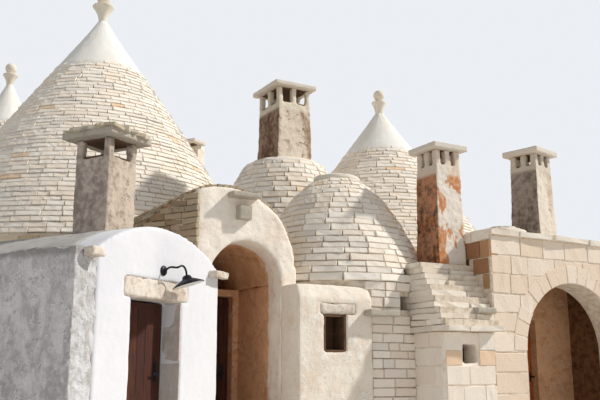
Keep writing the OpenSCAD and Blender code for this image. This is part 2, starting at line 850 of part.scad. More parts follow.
module chimney_slabs() {
    color([0.85, 0.8, 0.72]) {
        at(kitchen_at) chimney_slab(kitchen_chimney_w, kitchen_chimney_w + 100, kitchen_chimney_z);
        at(oven_at) chimney_slab(oven_chimney_w, oven_chimney_w, oven_chimney_z);
        at(east_chimney_at, 13) chimney_slab(east_chimney_w, east_chimney_w, east_chimney_z);
        at(wing_at, wing_turn) at(wing_chimney_at)
            chimney_slab(wing_chimney_w, wing_chimney_d, wing_chimney_z, wing_slab_over);
        at(rear_chimney_at, rear_chimney_turn) chimney_slab(rear_chimney_w, rear_chimney_w, rear_chimney_z);
    }
}

module roof_mound() {
    z0 = east_h + east_roof_t;
    color([0.8, 0.76, 0.68]) difference() {
        at(mound_at) rotate_extrude() polygon([[0, z0], [650, z0], [600, z0 + 150],
            [430, z0 + 310], [220, z0 + 420], [0, z0 + 450]]);
        at(east_chimney_at, 13) translate([-east_chimney_w / 2, -east_chimney_w / 2, z0 - cut])
            cube([east_chimney_w, east_chimney_w, east_chimney_z]);
    }
}

module floors() {
    color([0.75, 0.7, 0.62]) {
        cylinder(r = main_r - main_wall, h = floor_t);
        at(far_at) cylinder(r = far_r - far_wall, h = floor_t);
        at(rear_at) cylinder(r = rear_r - rear_wall, h = floor_t);
        difference() {
            at(kitchen_at) cylinder(r = kitchen_r - kitchen_wall, h = floor_t);
            at(centre_at) translate([0, 0, -cut]) cylinder(r = centre_r, h = 2 * floor_t);
        }
        at(centre_at) cylinder(r = centre_r - centre_wall, h = floor_t);
        wing_block(wing_wall, wing_front_t, 0,
            [wing_len - 2 * wing_wall, wing_depth - wing_front_t - wing_wall, floor_t]);
        wing_block(wing_door_x, 0, 0, [wing_open_w, wing_front_t - 40, floor_t]);
        translate([porch_left_x, porch_y, 0])
            cube([2 * arch_r, porch_front_t + porch_depth, floor_t]);
        translate([porch_door_x - door_gap, porch_back_y + 40, 0])
            cube([door_w + 2 * door_gap, 1500, floor_t]);
        translate([east_x + east_wall, east_y + east_wall, 0])
            cube([east_w - 2 * east_wall, loggia_depth, floor_t]);
        translate([glazed_x - door_gap, inner_y + 40, 0])
            cube([glazed_door_w + 2 * door_gap, east_wall - 80, floor_t]);
        translate([east_x + east_wall, room_y, 0])
            cube([east_w - 2 * east_wall, east_back - east_wall - room_y, floor_t]);
    }
}

// A door leaf in its own frame: hinged at x = 0, its inner face at y = 0
module leaf(w, h) {
    translate([0, -door_t, floor_t + door_lift]) cube([w, door_t, h]);
}

module pivot_pair(h) {
    translate([pivot_r, -door_t / 2, floor_t]) cylinder(r = pivot_r, h = door_lift - pivot_gap);
    translate([pivot_r, -door_t / 2, floor_t + door_lift + h + pivot_gap])
        cylinder(r = pivot_r, h = door_gap - pivot_gap);
}

module at_wing_door() {
    at(wing_at, wing_turn) translate([wing_door_x + door_gap, reveal + door_t, 0]) children();
}

module at_porch_door() {
    translate([porch_door_x, porch_back_y + 120 + door_t, 0]) children();
}

module at_glazed_door() {
    translate([glazed_x, inner_y + 120 + door_t, 0]) children();
}

module door_pivots() {
    color([0.25, 0.23, 0.22]) {
        at_wing_door() pivot_pair(wing_door_h);
        at_porch_door() pivot_pair(porch_door_h);
        at_glazed_door() pivot_pair(glazed_door_h);
    }
}

module latch(w, z) {
    translate([w - 190, -door_t - 22, z]) cube([120, 22, 30]);
}

module wing_door() {
    color([0.35, 0.15, 0.09]) at_wing_door() union() {
        leaf(door_w, wing_door_h);
        latch(door_w, 1080);
    }
}

module porch_door() {
    color([0.33, 0.14, 0.09]) at_porch_door() union() {
        leaf(door_w, porch_door_h);
        latch(door_w, 1080);
    }
}

module glass_space(t) {
    mid = floor_t + door_lift + 880;
    top = floor_t + door_lift + glazed_door_h - stile_w;
    for (z = [[floor_t + door_lift + stile_w, mid], [mid + stile_w, top]])
        translate([stile_w, -door_t / 2 - t / 2, z[0]])
            cube([glazed_door_w - 2 * stile_w, t, z[1] - z[0]]);
}

module glazed_door() {
    color([0.7, 0.32, 0.12]) at_glazed_door() union() {
        difference() {
            leaf(glazed_door_w, glazed_door_h);
            glass_space(door_t + 2 * cut);
        }
        translate([glazed_door_w - 55, -door_t - 45, 1000]) cube([25, 45, 25]);
        translate([glazed_door_w - 140, -door_t - 45, 1000]) cube([110, 14, 25]);
    }
}

module door_glass() {
    color([0.6, 0.62, 0.6]) at_glazed_door() glass_space(8);
}

// The gooseneck lamp over the wing's door
module wall_lamp() {
    lamp_x = 1430;
    plate_z = 2235;
    lamp_out = 200;
    lamp_reach = 260;
    bend_r = 65;
    shade_z = 2130;
    rod_r = 12;
    color([0.12, 0.13, 0.15]) at(wing_at, wing_turn) translate([lamp_x, 0, 0]) {
        translate([0, 0, plate_z]) rotate([90, 0, 0]) cylinder(r = 60, h = 25);
        translate([0, -20, plate_z]) rotate([90, 0, 0]) cylinder(r = rod_r, h = lamp_out - 20);
        translate([0, -lamp_out, plate_z]) sphere(r = rod_r, $fn = ball_fn);
        translate([0, -lamp_out, plate_z]) rotate([0, 90, 0])
            cylinder(r = rod_r, h = lamp_reach - bend_r);
        translate([lamp_reach - bend_r, -lamp_out, plate_z - bend_r]) rotate([90, 0, 0])
            rotate_extrude(angle = 90) translate([bend_r, 0]) circle(r = rod_r, $fn = 24);
        translate([lamp_reach, -lamp_out, shade_z + 20])
            cylinder(r = rod_r, h = plate_z - bend_r - shade_z - 20);
        translate([lamp_reach, -lamp_out, shade_z]) rotate_extrude()
            polygon([[0, 55], [28, 50], [46, 35], [55, 12], [180, -55], [187, -55], [187, -48],
                [180, -48], [58, 24], [52, 44], [32, 60], [0, 66]]);
    }
}

main_drum();
main_cone();
far_drum();
far_cone();
rear_drum();
rear_cone();
trullo_caps();
finials();
kitchen_drum();
kitchen_dome();
centre_drum();
centre_dome();
room_links();
porch_front();
porch_left_wall();
porch_right_wall();
porch_back_wall();
porch_vault();
niche_buttress();
wing_left_wall();
wing_right_wall();
wing_back_wall();
wing_front_left();
wing_front_right();
wing_gable();
stone_lintels();
wing_vault();
spout_stones();
loggia_front();
loggia_arch_ring();
loggia_side_walls();
loggia_inner_wall();
loggia_back_wall();
loggia_roof();
loggia_coping();
annex_walls();
annex_stepped_roof();
kitchen_chimney();
oven_chimney();
loggia_chimney();
wing_chimney();
rear_chimney();
chimney_slabs();
roof_mound();
floors();
door_pivots();
wall_lamp();
wing_door();
porch_door();
glazed_door();
door_glass();
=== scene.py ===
# %% [markdown]
# # A trullo house, dressed stone by stone
# The real house is dry-laid limestone: round rooms under corbelled cones, two
# domes, a vaulted porch, a whitewashed wing, a low annex and an arched loggia.
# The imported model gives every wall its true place. This script lays the courses
# of stone over it, roughens the plaster, planks the doors and lights the house.

import math
import random

import bmesh
import bpy
import numpy as np
from mathutils import Matrix, Vector
from mathutils.bvhtree import BVHTree


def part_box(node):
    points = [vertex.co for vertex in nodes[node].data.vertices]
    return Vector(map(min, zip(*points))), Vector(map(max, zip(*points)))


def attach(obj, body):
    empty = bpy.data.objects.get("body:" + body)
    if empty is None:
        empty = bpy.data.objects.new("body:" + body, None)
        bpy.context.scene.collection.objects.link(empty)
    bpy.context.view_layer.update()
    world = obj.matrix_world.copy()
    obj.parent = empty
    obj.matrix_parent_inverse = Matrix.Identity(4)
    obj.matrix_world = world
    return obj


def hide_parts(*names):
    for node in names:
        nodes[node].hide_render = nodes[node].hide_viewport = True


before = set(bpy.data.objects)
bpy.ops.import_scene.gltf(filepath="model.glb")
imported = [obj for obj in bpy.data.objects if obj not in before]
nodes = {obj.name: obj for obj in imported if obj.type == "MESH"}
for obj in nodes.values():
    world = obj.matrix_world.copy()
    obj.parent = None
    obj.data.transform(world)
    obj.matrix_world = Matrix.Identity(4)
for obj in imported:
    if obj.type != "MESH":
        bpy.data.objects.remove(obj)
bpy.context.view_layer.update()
print("nodes in the frame:", len(nodes))

# %% [markdown]
# ## Camera
# The eye stands low in front of the wing and looks up at the cones.

# %% Camera
EYE = (-4.61, -16.86, 1.10)
LOOK_UP_DEG = 12.0
TURN_DEG = -30.0
LENS_MM = 48.36

camera_data = bpy.data.cameras.new("eye")
camera_data.lens = LENS_MM
camera_data.sensor_width = 36.0
camera = bpy.data.objects.new("eye", camera_data)
camera.location = EYE
camera.rotation_euler = (math.radians(90 + LOOK_UP_DEG), 0, math.radians(TURN_DEG))
bpy.context.scene.collection.objects.link(camera)
bpy.context.scene.camera = camera
bpy.context.scene.view_settings.view_transform = "Standard"
print("lens", LENS_MM, "mm")

# %% [markdown]
# ## Shader maths as plain expressions
# A material is a small sum: stone colour, plus lichen where a noise is high. The
# class below wraps a socket, so that such a sum is written as one.


# %% A socket that adds and multiplies
def paint(code):
    """An sRGB colour of six hex digits as the linear colour that sockets take."""
    def linear(c):
        return c / 12.92 if c <= 0.04045 else ((c + 0.055) / 1.055) ** 2.4
    return (*(linear(int(code[k:k + 2], 16) / 255.0) for k in (0, 2, 4)), 1.0)


def feed(tree, made, key, value):
    """Links a socket to an input, or sets the input to a value."""
    value = getattr(value, "socket", value)
    if isinstance(value, bpy.types.NodeSocket):
        tree.links.new(value, made.inputs[key])
    else:
        made.inputs[key].default_value = value


def add(tree, kind, links=None, out=0, **settings):
    """Adds a node with its settings, links and values, and returns one output."""
    made = tree.nodes.new(kind)
    for key, value in settings.items():
        setattr(made, key, value)
    for key, value in (links or {}).items():
        feed(tree, made, key, value)
    return made.outputs[out]


class Value:
    """A socket in a sum. The reflected forms let a number stand on the left."""

    def __init__(self, tree, socket):
        self.tree, self.socket = tree, socket

    def maths(self, kind, other):
        made = add(self.tree, "ShaderNodeMath", {0: self, 1: other}, operation=kind)
        return Value(self.tree, made)

    def __add__(self, other): return self.maths("ADD", other)
    def __mul__(self, other): return self.maths("MULTIPLY", other)
    __radd__, __rmul__ = __add__, __mul__


# %% A material and its tree
class Finish:
    """A material's node tree, and the few nodes that stone and wood need."""

    def __init__(self, name, **sockets):
        self.material = bpy.data.materials.new(name)
        self.material.use_nodes = True
        self.tree = self.material.node_tree
        self.place = self.node("ShaderNodeTexCoord", out="Object")
        for socket, value in sockets.items():
            self.feed(socket.replace("_", " "), value)

    def feed(self, key, value):
        feed(self.tree, self.tree.nodes["Principled BSDF"], key, value)

    def node(self, kind, links=None, out=0, **settings):
        return Value(self.tree, add(self.tree, kind, links, out, **settings))

    def noise(self, size, detail=4.0, rough=0.6, stretch=(1, 1, 1), warp=0.0):
        at = self.node("ShaderNodeMapping", {"Vector": self.place, "Scale": stretch})
        return self.node("ShaderNodeTexNoise", {
            "Vector": at, "Scale": 1.0 / size, "Detail": detail, "Roughness": rough,
            "Distortion": warp}, "Fac")

    def between(self, value, low, high):
        return self.node("ShaderNodeMapRange", {"Value": value, "From Min": low, "From Max": high},
                         interpolation_type="SMOOTHSTEP")

    def mix(self, share, a, b):
        a, b = (paint(value) if isinstance(value, str) else value for value in (a, b))
        return self.node("ShaderNodeMix", {0: share, 6: a, 7: b}, 2, data_type="RGBA")

    def attribute(self, name):
        return self.node("ShaderNodeAttribute", out="Fac", attribute_name=name)

    def colour(self, value):
        self.feed("Base Color", value)

    def bump(self, height, depth):
        self.feed("Normal", self.node("ShaderNodeBump", {
            "Height": height, "Distance": depth, "Strength": 1.0}))


# %% [markdown]
# ## Finishes
# Weathered limestone is not one colour. Each stone has its own tone, kept in an
# attribute of the mesh, and over all of them run warm stains, grey lichen and
# dark specks. Plaster is smoother, and shows the stone where it has worn off.

# %% Stone that varies from block to block
def block_stone(name, pale, warm, grey, dark, lichen=0.5, depth=0.012, ochre=None):
    f = Finish(name, Roughness=0.92, Specular_IOR_Level=0.2)
    tone = f.attribute("tone")
    grain = f.noise(0.05, 6.0, 0.7)
    patch = f.noise(0.55, 5.0, 0.65, warp=0.6)
    fleck = f.noise(0.018, 3.0, 0.6)
    colour = f.mix(f.between(tone, 0.25, 0.95), pale, warm)
    if ochre:
        colour = f.mix(f.between(tone, 0.975, 0.985), colour, ochre)
    crust = f.between(patch + grain * 0.5, 0.86 - 0.16 * lichen, 1.05)
    colour = f.mix(crust * lichen, colour, grey)
    colour = f.mix(f.between(grain * 0.6 + fleck * 0.55, 0.66, 0.8) * 0.65, colour, dark)
    colour = f.mix(f.between(tone, 0.25, 0.0) * 0.5, colour, grey)
    f.colour(colour)
    f.bump(grain + fleck * 0.35, depth)
    return f.material


roof_stone = block_stone("roof_stone", "fcf4e8", "f7ead9", "d8cfc4", "8a7a68", 0.55, 0.008,
                         ochre="f0d4b4")
gable_stone = block_stone("gable_stone", "faf1e4", "f4e6d7", "ded6ce", "aa947e", 0.4, 0.008,
                          ochre="eed0b2")
flank_stone = block_stone("flank_stone", "c4b298", "a48e72", "80766c", "544638", 0.6)
wall_stone = block_stone("wall_stone", "eee0c6", "e0c8a4", "a09486", "786450", 0.4,
                         ochre="e4b278")
ashlar_stone = block_stone("ashlar_stone", "f4e5d3", "eed9c3", "d4c2b0", "9c846e", 0.35, 0.008,
                           ochre="e4bc92")
# A browner, darker copy of the wall stone: painted shade for the loggia's left side.
inner_stone = block_stone("inner_stone", "be9470", "a47856", "745c4a", "483428", 0.6,
                          ochre="be8254")
slab_stone = block_stone("slab_stone", "ded4c2", "c8baa2", "8c867e", "5e5448", 0.7)
pale_slab = block_stone("pale_slab", "f4ebdd", "e8dbca", "c8beb2", "8c7c6a", 0.5, 0.008)
print("block finishes made")


# %% Plaster that has worn and stained
def plaster(name, sound, stain, worn, dirt, worn_at=0.62, dirt_at=0.7, size=0.5, depth=0.01,
            drip=(1, 1, 0.35), side=None, top=None, edge=(0.42, 0.68)):
    """Side is a direction, a light and a dark colour and a share: faces that look that way take the
    two; on the chimney shafts this is painted shade on their left faces. Top is a height and a
    colour that holds above it."""
    f = Finish(name, Roughness=0.9, Specular_IOR_Level=0.2)
    broad = f.noise(size, 6.0, 0.62, drip, 0.4)
    rough = f.noise(0.11, 6.0, 0.7, warp=0.3)
    grit = f.noise(0.022, 4.0, 0.65)
    colour = f.mix(f.between(broad, *edge), sound, stain)
    bare = f.between(broad * 0.4 + rough * 0.6, worn_at - 0.09, worn_at + 0.05)
    colour = f.mix(bare, colour, worn)
    colour = f.mix(f.between(rough * 0.5 + grit * 0.5, dirt_at - 0.16, dirt_at) * 0.8, colour, dirt)
    if side:
        looks = f.node("ShaderNodeNewGeometry", out="Normal")
        share = f.node("ShaderNodeVectorMath", {0: looks, 1: side[0]}, "Value",
                       operation="DOT_PRODUCT")
        blend = f.between(share + broad * 0.3, 0.62, 0.95) * side[3]
        mottle = f.between(rough * 0.6 + broad * 0.4, 0.42, 0.6)
        colour = f.mix(blend, colour, f.mix(mottle, side[1], side[2]))
    if top:
        height = f.node("ShaderNodeSeparateXYZ", {0: f.place}, "Z")
        above = f.between(height + rough * 0.1, top[0], top[0] + 0.08)
        colour = f.mix(above * 0.75, colour, top[1])
    f.colour(colour)
    f.bump(rough + grit * 0.25, depth)
    return f.material


WING_OUT = (0.53, -0.848, 0.0)
WING_LEFT = (-0.848, -0.53, 0.0)
whitewash = plaster("whitewash", "e7e7ea", "e0e0e5", "d6d4d4", "c4c1be", 0.72, 0.86, 0.6, 0.006)
grey_rough = plaster("grey_rough", "eee9eb", "c4bebf", "f3f0f1", "807874", 0.58, 0.67, 0.17, 0.05,
                     (1, 1, 0.45), (WING_OUT, "e7e6e8", "c8c4c0", 0.95), (2.27, "9c9590"),
                     (0.42, 0.6))
lintel_plaster = plaster("lintel_plaster", "e8ddcf", "d8c9b8", "c8b8a8", "968474", 0.56, 0.68,
                         0.3, 0.016, (1, 1, 1))
vault_plaster = plaster("vault_plaster", "bcb8b3", "aaa6a0", "96918a", "78726b", 0.6, 0.7)
cap_plaster = plaster("cap_plaster", "f5f3ed", "f0ebe0", "e4dccc", "cec4b2", 0.74, 0.86, 0.7,
                      0.004)
finial_stone = plaster("finial_stone", "eee6d8", "e6dac6", "d8cab4", "b8a892", 0.64, 0.76, 0.3,
                       0.004)
gable_plaster = plaster("gable_plaster", "fbf2e5", "f7e9da", "eedac8", "baa088", 0.6, 0.72, 0.35,
                        0.016, (1, 1, 1))
porch_plaster = plaster("porch_plaster", "f5ebdc", "e8d5c0", "faf5ec", "a48a72", 0.58, 0.7, 0.4,
                        0.016, (1, 1, 1))
# The side colours of the chimney shafts below are painted shade: their left faces, which the sun
# doesn't reach, take darker colours.
wing_shaft = plaster("wing_shaft", "d6c6b4", "c2b2a0", "ac9e90", "70645a", 0.57, 0.68, 0.3, 0.03,
                     side=(WING_LEFT, "d8c8be", "a0928a", 0.9))
LEFT = (-0.99, -0.1, 0.0)
kitchen_shaft = plaster("kitchen_shaft", "eadcca", "c0a892", "a08872", "705a48", 0.56, 0.68, 0.35,
                        0.02, side=(LEFT, "9c7e68", "5e4636", 0.92), top=(5.86, "ece2ce"),
                        edge=(0.46, 0.62))
oven_shaft = plaster("oven_shaft", "eee4d8", "d08e5e", "dec4ac", "96745a", 0.6, 0.72, 0.42, 0.02,
                     (1, 1, 0.6), side=(LEFT, "c4865e", "543828", 0.94), top=(4.02, "eadece"),
                     edge=(0.485, 0.525))
loggia_shaft = plaster("loggia_shaft", "ece1d2", "d6c7b4", "bcac9a", "7e7062", 0.59, 0.71, 0.4,
                       0.02, side=((-0.97, -0.22, 0.0), "9e9086", "60544c", 0.92),
                       top=(4.42, "ded4c4"), edge=(0.46, 0.62))
mound_plaster = plaster("mound_plaster", "f0e8da", "e4d8c6", "d4cabc", "b0a494", 0.62, 0.76, 0.3,
                        0.01)
reveal_plaster = plaster("reveal_plaster", "cec6c0", "beb5ae", "d6d0cc", "968c84", 0.6, 0.74,
                         0.25, 0.012)
# Brown-orange plaster for the insides: partly staining, partly painted shade.
inner_plaster = plaster("inner_plaster", "e2b28a", "c08a62", "ecc6a2", "78523a", 0.58, 0.68, 0.35,
                        0.02, (1, 1, 1))
# A dark plaster for painted shade, inside the chimneys' lanterns and the niche.
soot_plaster = plaster("soot_plaster", "6e5440", "543e30", "7c624e", "362820", 0.6, 0.72, 0.3,
                       0.008, (1, 1, 1))
floor_stone = plaster("floor_stone", "c4b8a4", "b0a28e", "cec4b2", "786c5c", 0.58, 0.7, 0.5,
                      0.006, (1, 1, 1))
enamel = Finish("enamel", Roughness=0.35, Specular_IOR_Level=0.5)
enamel.colour(enamel.mix(enamel.noise(0.1, 3.0) * 0.3, "eeece6", "d6d0c4"))
enamel = enamel.material
print("plaster finishes made")


# %% [markdown]
# Between dry-laid stones there is shade, and between bedded ones pale mortar.
# Both are plain fills that show only in the joints. The grain of a door's boards
# runs upwards, so its noises are stretched along Z, and iron gets a little rust.


# %% Mortar and the dark of open joints
def joint_fill(name, pale, dark):
    f = Finish(name, Roughness=0.96, Specular_IOR_Level=0.1)
    f.colour(f.mix(f.between(f.noise(0.09, 5.0), 0.35, 0.7), pale, dark))
    f.bump(f.noise(0.03, 4.0), 0.01)
    return f.material


dry_joint = joint_fill("dry_joint", "5c5248", "342d26")
pale_joint = joint_fill("pale_joint", "ece0cf", "cebca6")
warm_joint = joint_fill("warm_joint", "805e42", "563a28")


# %% Wood, glass and iron
def board_wood(name, light, mid, dark, gloss):
    f = Finish(name, Roughness=gloss, Specular_IOR_Level=0.35)
    tone = f.attribute("tone")
    grain = f.noise(0.018, 5.0, 0.6, (1, 1, 0.06), 0.5)
    ring = f.noise(0.14, 3.0, 0.5, (1, 1, 0.12), 1.2)
    colour = f.mix(f.between(grain, 0.35, 0.68), light, dark)
    colour = f.mix(f.between(ring, 0.4, 0.62) * 0.6, colour, mid)
    f.colour(f.mix(tone * 0.5, colour, dark))
    f.bump(grain, 0.002)
    return f.material


plank_wood = board_wood("plank_wood", "5e2e1b", "482114", "28130c", 0.7)
door_wood = board_wood("door_wood", "ce702e", "b8581e", "823a16", 0.42)


def black_iron():
    f = Finish("black_iron", Metallic=0.75, Specular_IOR_Level=0.4)
    rust = f.between(f.noise(0.06, 5.0), 0.6, 0.75)
    f.colour(f.mix(rust * 0.5, "2c2e34", "54382a"))
    f.feed("Roughness", f.between(f.noise(0.02, 3.0), 0.0, 1.4) * 0.5 + 0.3)
    f.bump(f.noise(0.01, 3.0), 0.0006)
    return f.material


def pane_glass():
    f = Finish("pane_glass", Roughness=0.06, Transmission_Weight=0.85, IOR=1.45)
    f.colour(f.mix(f.noise(0.3, 3.0) * 0.4, "cdd4d0", "aab4b0"))
    return f.material


iron = black_iron()
glass = pane_glass()
print("materials:", len(bpy.data.materials))

# %% [markdown]
# ## Dress the imported walls first
# Every imported wall keeps its mesh and gets the finish that shows between the stones laid over it
# later: dark where the stones are dry-laid, pale where they are bedded in mortar.


# %% Finishes for the imported nodes
def dress(material, *names):
    for name in names:
        nodes[name].data.materials.clear()
        nodes[name].data.materials.append(material)


dress(dry_joint, "main_cone", "far_cone", "rear_cone", "kitchen_dome", "centre_dome")
dress(warm_joint, "main_drum", "far_drum", "rear_drum", "kitchen_drum", "room_links",
      "loggia_side_walls", "loggia_back_wall")
dress(pale_joint, "loggia_front", "loggia_arch_ring", "loggia_coping", "porch_front",
      "niche_buttress", "annex_walls", "porch_vault", "loggia_roof", "annex_stepped_roof",
      "centre_drum", "roof_mound")
# The porch's inside and the loggia's inner wall: stained, and browner in part as painted shade.
dress(inner_plaster, "porch_left_wall", "porch_right_wall", "porch_back_wall",
      "loggia_inner_wall")
dress(whitewash, "wing_front_left", "wing_front_right", "wing_gable", "wing_right_wall",
      "wing_back_wall")
dress(cap_plaster, "trullo_caps")
dress(finial_stone, "finials")
dress(floor_stone, "floors")
dress(iron, "door_pivots", "wall_lamp")
dress(plank_wood, "wing_door", "porch_door")
dress(door_wood, "glazed_door")
dress(glass, "door_glass")
print("nodes dressed:", sum(bool(o.data.materials) for o in nodes.values()))

# %% [markdown]
# ## Where a face is free
# A course may only be laid where there is wall behind it and air in front. A ray
# is shot from the point, and an odd count of hits means that the point is inside
# a node. So doorways, niches and neighbours stop the stones by themselves.


# %% Ask whether a point is inside the house
def closed_tree(name):
    mesh = nodes[name].data
    verts = [v.co.copy() for v in mesh.vertices]
    faces = [tuple(p.vertices) for p in mesh.polygons]
    low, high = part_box(name)
    return BVHTree.FromPolygons(verts, faces), low, high


DOORS = ("wing_door", "porch_door", "glazed_door", "door_glass", "door_pivots", "wall_lamp")
trees = [closed_tree(name) for name in nodes if name not in DOORS]
RAY = Vector((0.9231, 0.3512, 0.1567)).normalized()
STEP_PAST = 1e-5


def inside(point):
    for tree, low, high in trees:
        if any(point[k] < low[k] or point[k] > high[k] for k in range(3)):
            continue
        hits, start = 0, point
        while True:
            hit, _, _, _ = tree.ray_cast(start, RAY)
            if hit is None:
                break
            hits += 1
            start = hit + RAY * STEP_PAST
        if hits % 2:
            return True
    return False


print("inside the main wall:", inside(Vector((3.0, 0, 1.0))))
print("inside a wall in the middle of the room:", inside(Vector((0, 0, 1.0))))

# %% [markdown]
# ## The stones and how they are laid
# A mason picks each stone, and turns and trims it to fit its course. Here a few
# rough blocks are made once. A layout in Python gives each stone a point with
# its size, facing and tone, and one node tree sets a block on every point,
# chips it with a noise of its own and joins all of it to one mesh.


# %% Rough blocks, each in a box of one metre
KINDS = 5
block_shelf = bpy.data.collections.new("block_kinds")


def rough_block(index, rng):
    """A block whose outer face looks along -Y, with worn edges and a bulge."""
    bm = bmesh.new()
    bmesh.ops.create_cube(bm, size=1.0)
    front = [f for f in bm.faces if f.normal.y < -0.5]
    bmesh.ops.inset_individual(bm, faces=front, thickness=0.07, depth=0.0)
    middle = [e for e in front[0].edges if abs(e.verts[0].co.z - e.verts[1].co.z) < 0.1]
    bmesh.ops.subdivide_edges(bm, edges=middle, cuts=2)
    for v in bm.verts:
        edge = abs(v.co.x) > 0.49 or abs(v.co.z) > 0.49
        if v.co.y < -0.4:
            v.co.y += rng.uniform(0.06, 0.1) if edge else rng.uniform(-0.03, 0.025)
        if edge:
            v.co.x *= rng.uniform(0.985, 1.0)
            v.co.z *= rng.uniform(0.955, 1.0)
        elif abs(v.co.x) > 0.3:
            v.co.x = math.copysign(0.485, v.co.x) + rng.uniform(-0.008, 0.004)
            v.co.z += rng.uniform(-0.03, 0.03)
        else:
            v.co.x += rng.uniform(-0.03, 0.03)
            v.co.z += rng.uniform(-0.03, 0.03)
    bmesh.ops.recalc_face_normals(bm, faces=bm.faces)
    mesh = bpy.data.meshes.new(f"block_{index}")
    bm.to_mesh(mesh)
    bm.free()
    block = bpy.data.objects.new(f"block_{index}", mesh)
    block_shelf.objects.link(block)
    return len(mesh.polygons)


block_rng = random.Random(4)
print("faces of the blocks:", [rough_block(k, block_rng) for k in range(KINDS)])


# %% The tree that lays them
def new_tree(name, *sizes):
    """A node tree for a geometry, some sizes and a finish: the tree, its inputs, its end."""
    tree = bpy.data.node_groups.new(name, "GeometryNodeTree")
    sockets = [("Geometry", "Geometry"), *((size, "Float") for size in sizes),
               ("Finish", "Material")]
    for label, kind in sockets:
        tree.interface.new_socket(label, in_out="INPUT", socket_type=f"NodeSocket{kind}")
    tree.interface.new_socket("Geometry", in_out="OUTPUT", socket_type="NodeSocketGeometry")
    given, end = tree.nodes.new("NodeGroupInput"), tree.nodes.new("NodeGroupOutput")
    return tree, given.outputs, end.inputs[0]


def named(tree, kind, name):
    return add(tree, "GeometryNodeInputNamedAttribute", {"Name": name}, data_type=kind)


def shaken(tree, size, amount, seed):
    """A random offset that changes over the surface, for chips and lumps."""
    noise = add(tree, "ShaderNodeTexNoise", {"Scale": size, "Detail": 3.0, "W": seed}, "Color",
                noise_dimensions="4D")
    centred = add(tree, "ShaderNodeVectorMath", {0: noise, 1: (0.5, 0.5, 0.5)},
                  operation="SUBTRACT")
    return add(tree, "ShaderNodeVectorMath", {0: centred, "Scale": amount}, operation="SCALE")


def lay_tree():
    tree, given, end = new_tree("lay_stones", "Chip depth", "Chips per metre", "Seed")
    shelf = add(tree, "GeometryNodeCollectionInfo", {
        "Collection": block_shelf, "Separate Children": True, "Reset Children": True})
    laid = add(tree, "GeometryNodeInstanceOnPoints", {
        "Points": given["Geometry"], "Instance": shelf, "Pick Instance": True,
        "Instance Index": named(tree, "INT", "kind"),
        "Rotation": named(tree, "FLOAT_VECTOR", "facing"),
        "Scale": named(tree, "FLOAT_VECTOR", "measure")})
    whole = add(tree, "GeometryNodeRealizeInstances", {"Geometry": laid})
    moved = add(tree, "GeometryNodeSetPosition", {
        "Geometry": whole, "Offset": shaken(tree, given["Chips per metre"], given["Chip depth"],
                                            given["Seed"])})
    done = add(tree, "GeometryNodeSetMaterial", {"Geometry": moved, "Material": given["Finish"]})
    tree.links.new(done, end)
    return tree


lay_stones = lay_tree()
print("nodes in the tree:", len(lay_stones.nodes))


# %% Pieces, from a mesh to the frame
def add_modifier(piece, tree, **values):
    """Adds the tree to a piece and sets its inputs by their identifiers."""
    modifier = piece.modifiers.new(tree.name, "NODES")
    keys = {s.name: s.identifier for s in tree.interface.items_tree if s.in_out == "INPUT"}
    modifier.node_group = tree
    for label, value in values.items():
        modifier[keys[label.replace("_", " ")]] = value


def settled(piece):
    """The piece as its modifiers leave it, as a plain mesh with none left."""
    bpy.context.view_layer.update()
    graph = bpy.context.evaluated_depsgraph_get()
    mesh = bpy.data.meshes.new_from_object(piece.evaluated_get(graph), depsgraph=graph)
    piece.modifiers.clear()
    piece.data = mesh
    mesh.name = piece.name
    return piece


def placed(name, mesh):
    piece = bpy.data.objects.new(name, mesh)
    bpy.context.scene.collection.objects.link(piece)
    return piece


def from_bmesh(name, bm):
    mesh = bpy.data.meshes.new(name)
    bm.to_mesh(mesh)
    bm.free()
    return placed(name, mesh)


triangles = {}


def finish_piece(piece, slot, material=None, body="house"):
    """Gives a piece its body and, if one is given, its material. The slot is not used."""
    if material:
        piece.data.materials.append(material)
    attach(piece, body)
    piece.data.calc_loop_triangles()
    triangles[piece.name] = len(piece.data.loop_triangles)
    print(f"{piece.name}: {triangles[piece.name]} triangles")
    return piece


def build_stones(name, stones, finish, slot="limestone", chip=0.02, per_metre=9.0, seed=1.0):
    """One mesh of all stones: each is (place, facing, size, tone, kind)."""
    mesh = bpy.data.meshes.new(name)
    mesh.from_pydata([s[0] for s in stones], [], [])
    for label, kind, key, index in (("facing", "FLOAT_VECTOR", "vector", 1),
                                    ("measure", "FLOAT_VECTOR", "vector", 2),
                                    ("tone", "FLOAT", "value", 3), ("kind", "INT", "value", 4)):
        layer = mesh.attributes.new(label, kind, "POINT")
        flat = np.array([s[index] for s in stones]).reshape(-1)
        layer.data.foreach_set(key, flat.astype(int if kind == "INT" else np.float32))
    piece = placed(name, mesh)
    add_modifier(piece, lay_stones, Chip_depth=chip, Chips_per_metre=per_metre, Seed=seed,
                 Finish=finish)
    return finish_piece(settled(piece), slot)


# %% [markdown]
# ## Courses on any face
# A face is a function: a length along it and a height give a point and the
# direction that it looks in. Each course is tested every few centimetres, its
# free stretches are found, and each is divided into stones.


# %% Faces to lay courses on
UP = Vector((0, 0, 1))


def flat_face(start, along_deg):
    """A plane from a corner, running along a direction. It looks to the right of it."""
    a = math.radians(along_deg)
    along = Vector((math.cos(a), math.sin(a), 0))
    out = Vector((math.sin(a), -math.cos(a), 0))
    return lambda u, z: (Vector((start[0], start[1], 0)) + along * u + UP * z, out)


def round_face(centre, radius):
    """A round wall: u is the arc at the given radius, from +X turning to +Y."""
    def face(u, z):
        a = u / radius
        out = Vector((math.cos(a), math.sin(a), 0))
        return Vector((centre[0], centre[1], z)) + out * radius, out
    return face


print("faces: flat and round")


# %% Courses cut into stones
PROBE_IN, PROBE_OUT, PROBE_EDGE = 0.03, 0.035, 0.12
SHORTEST_RUN = 0.05


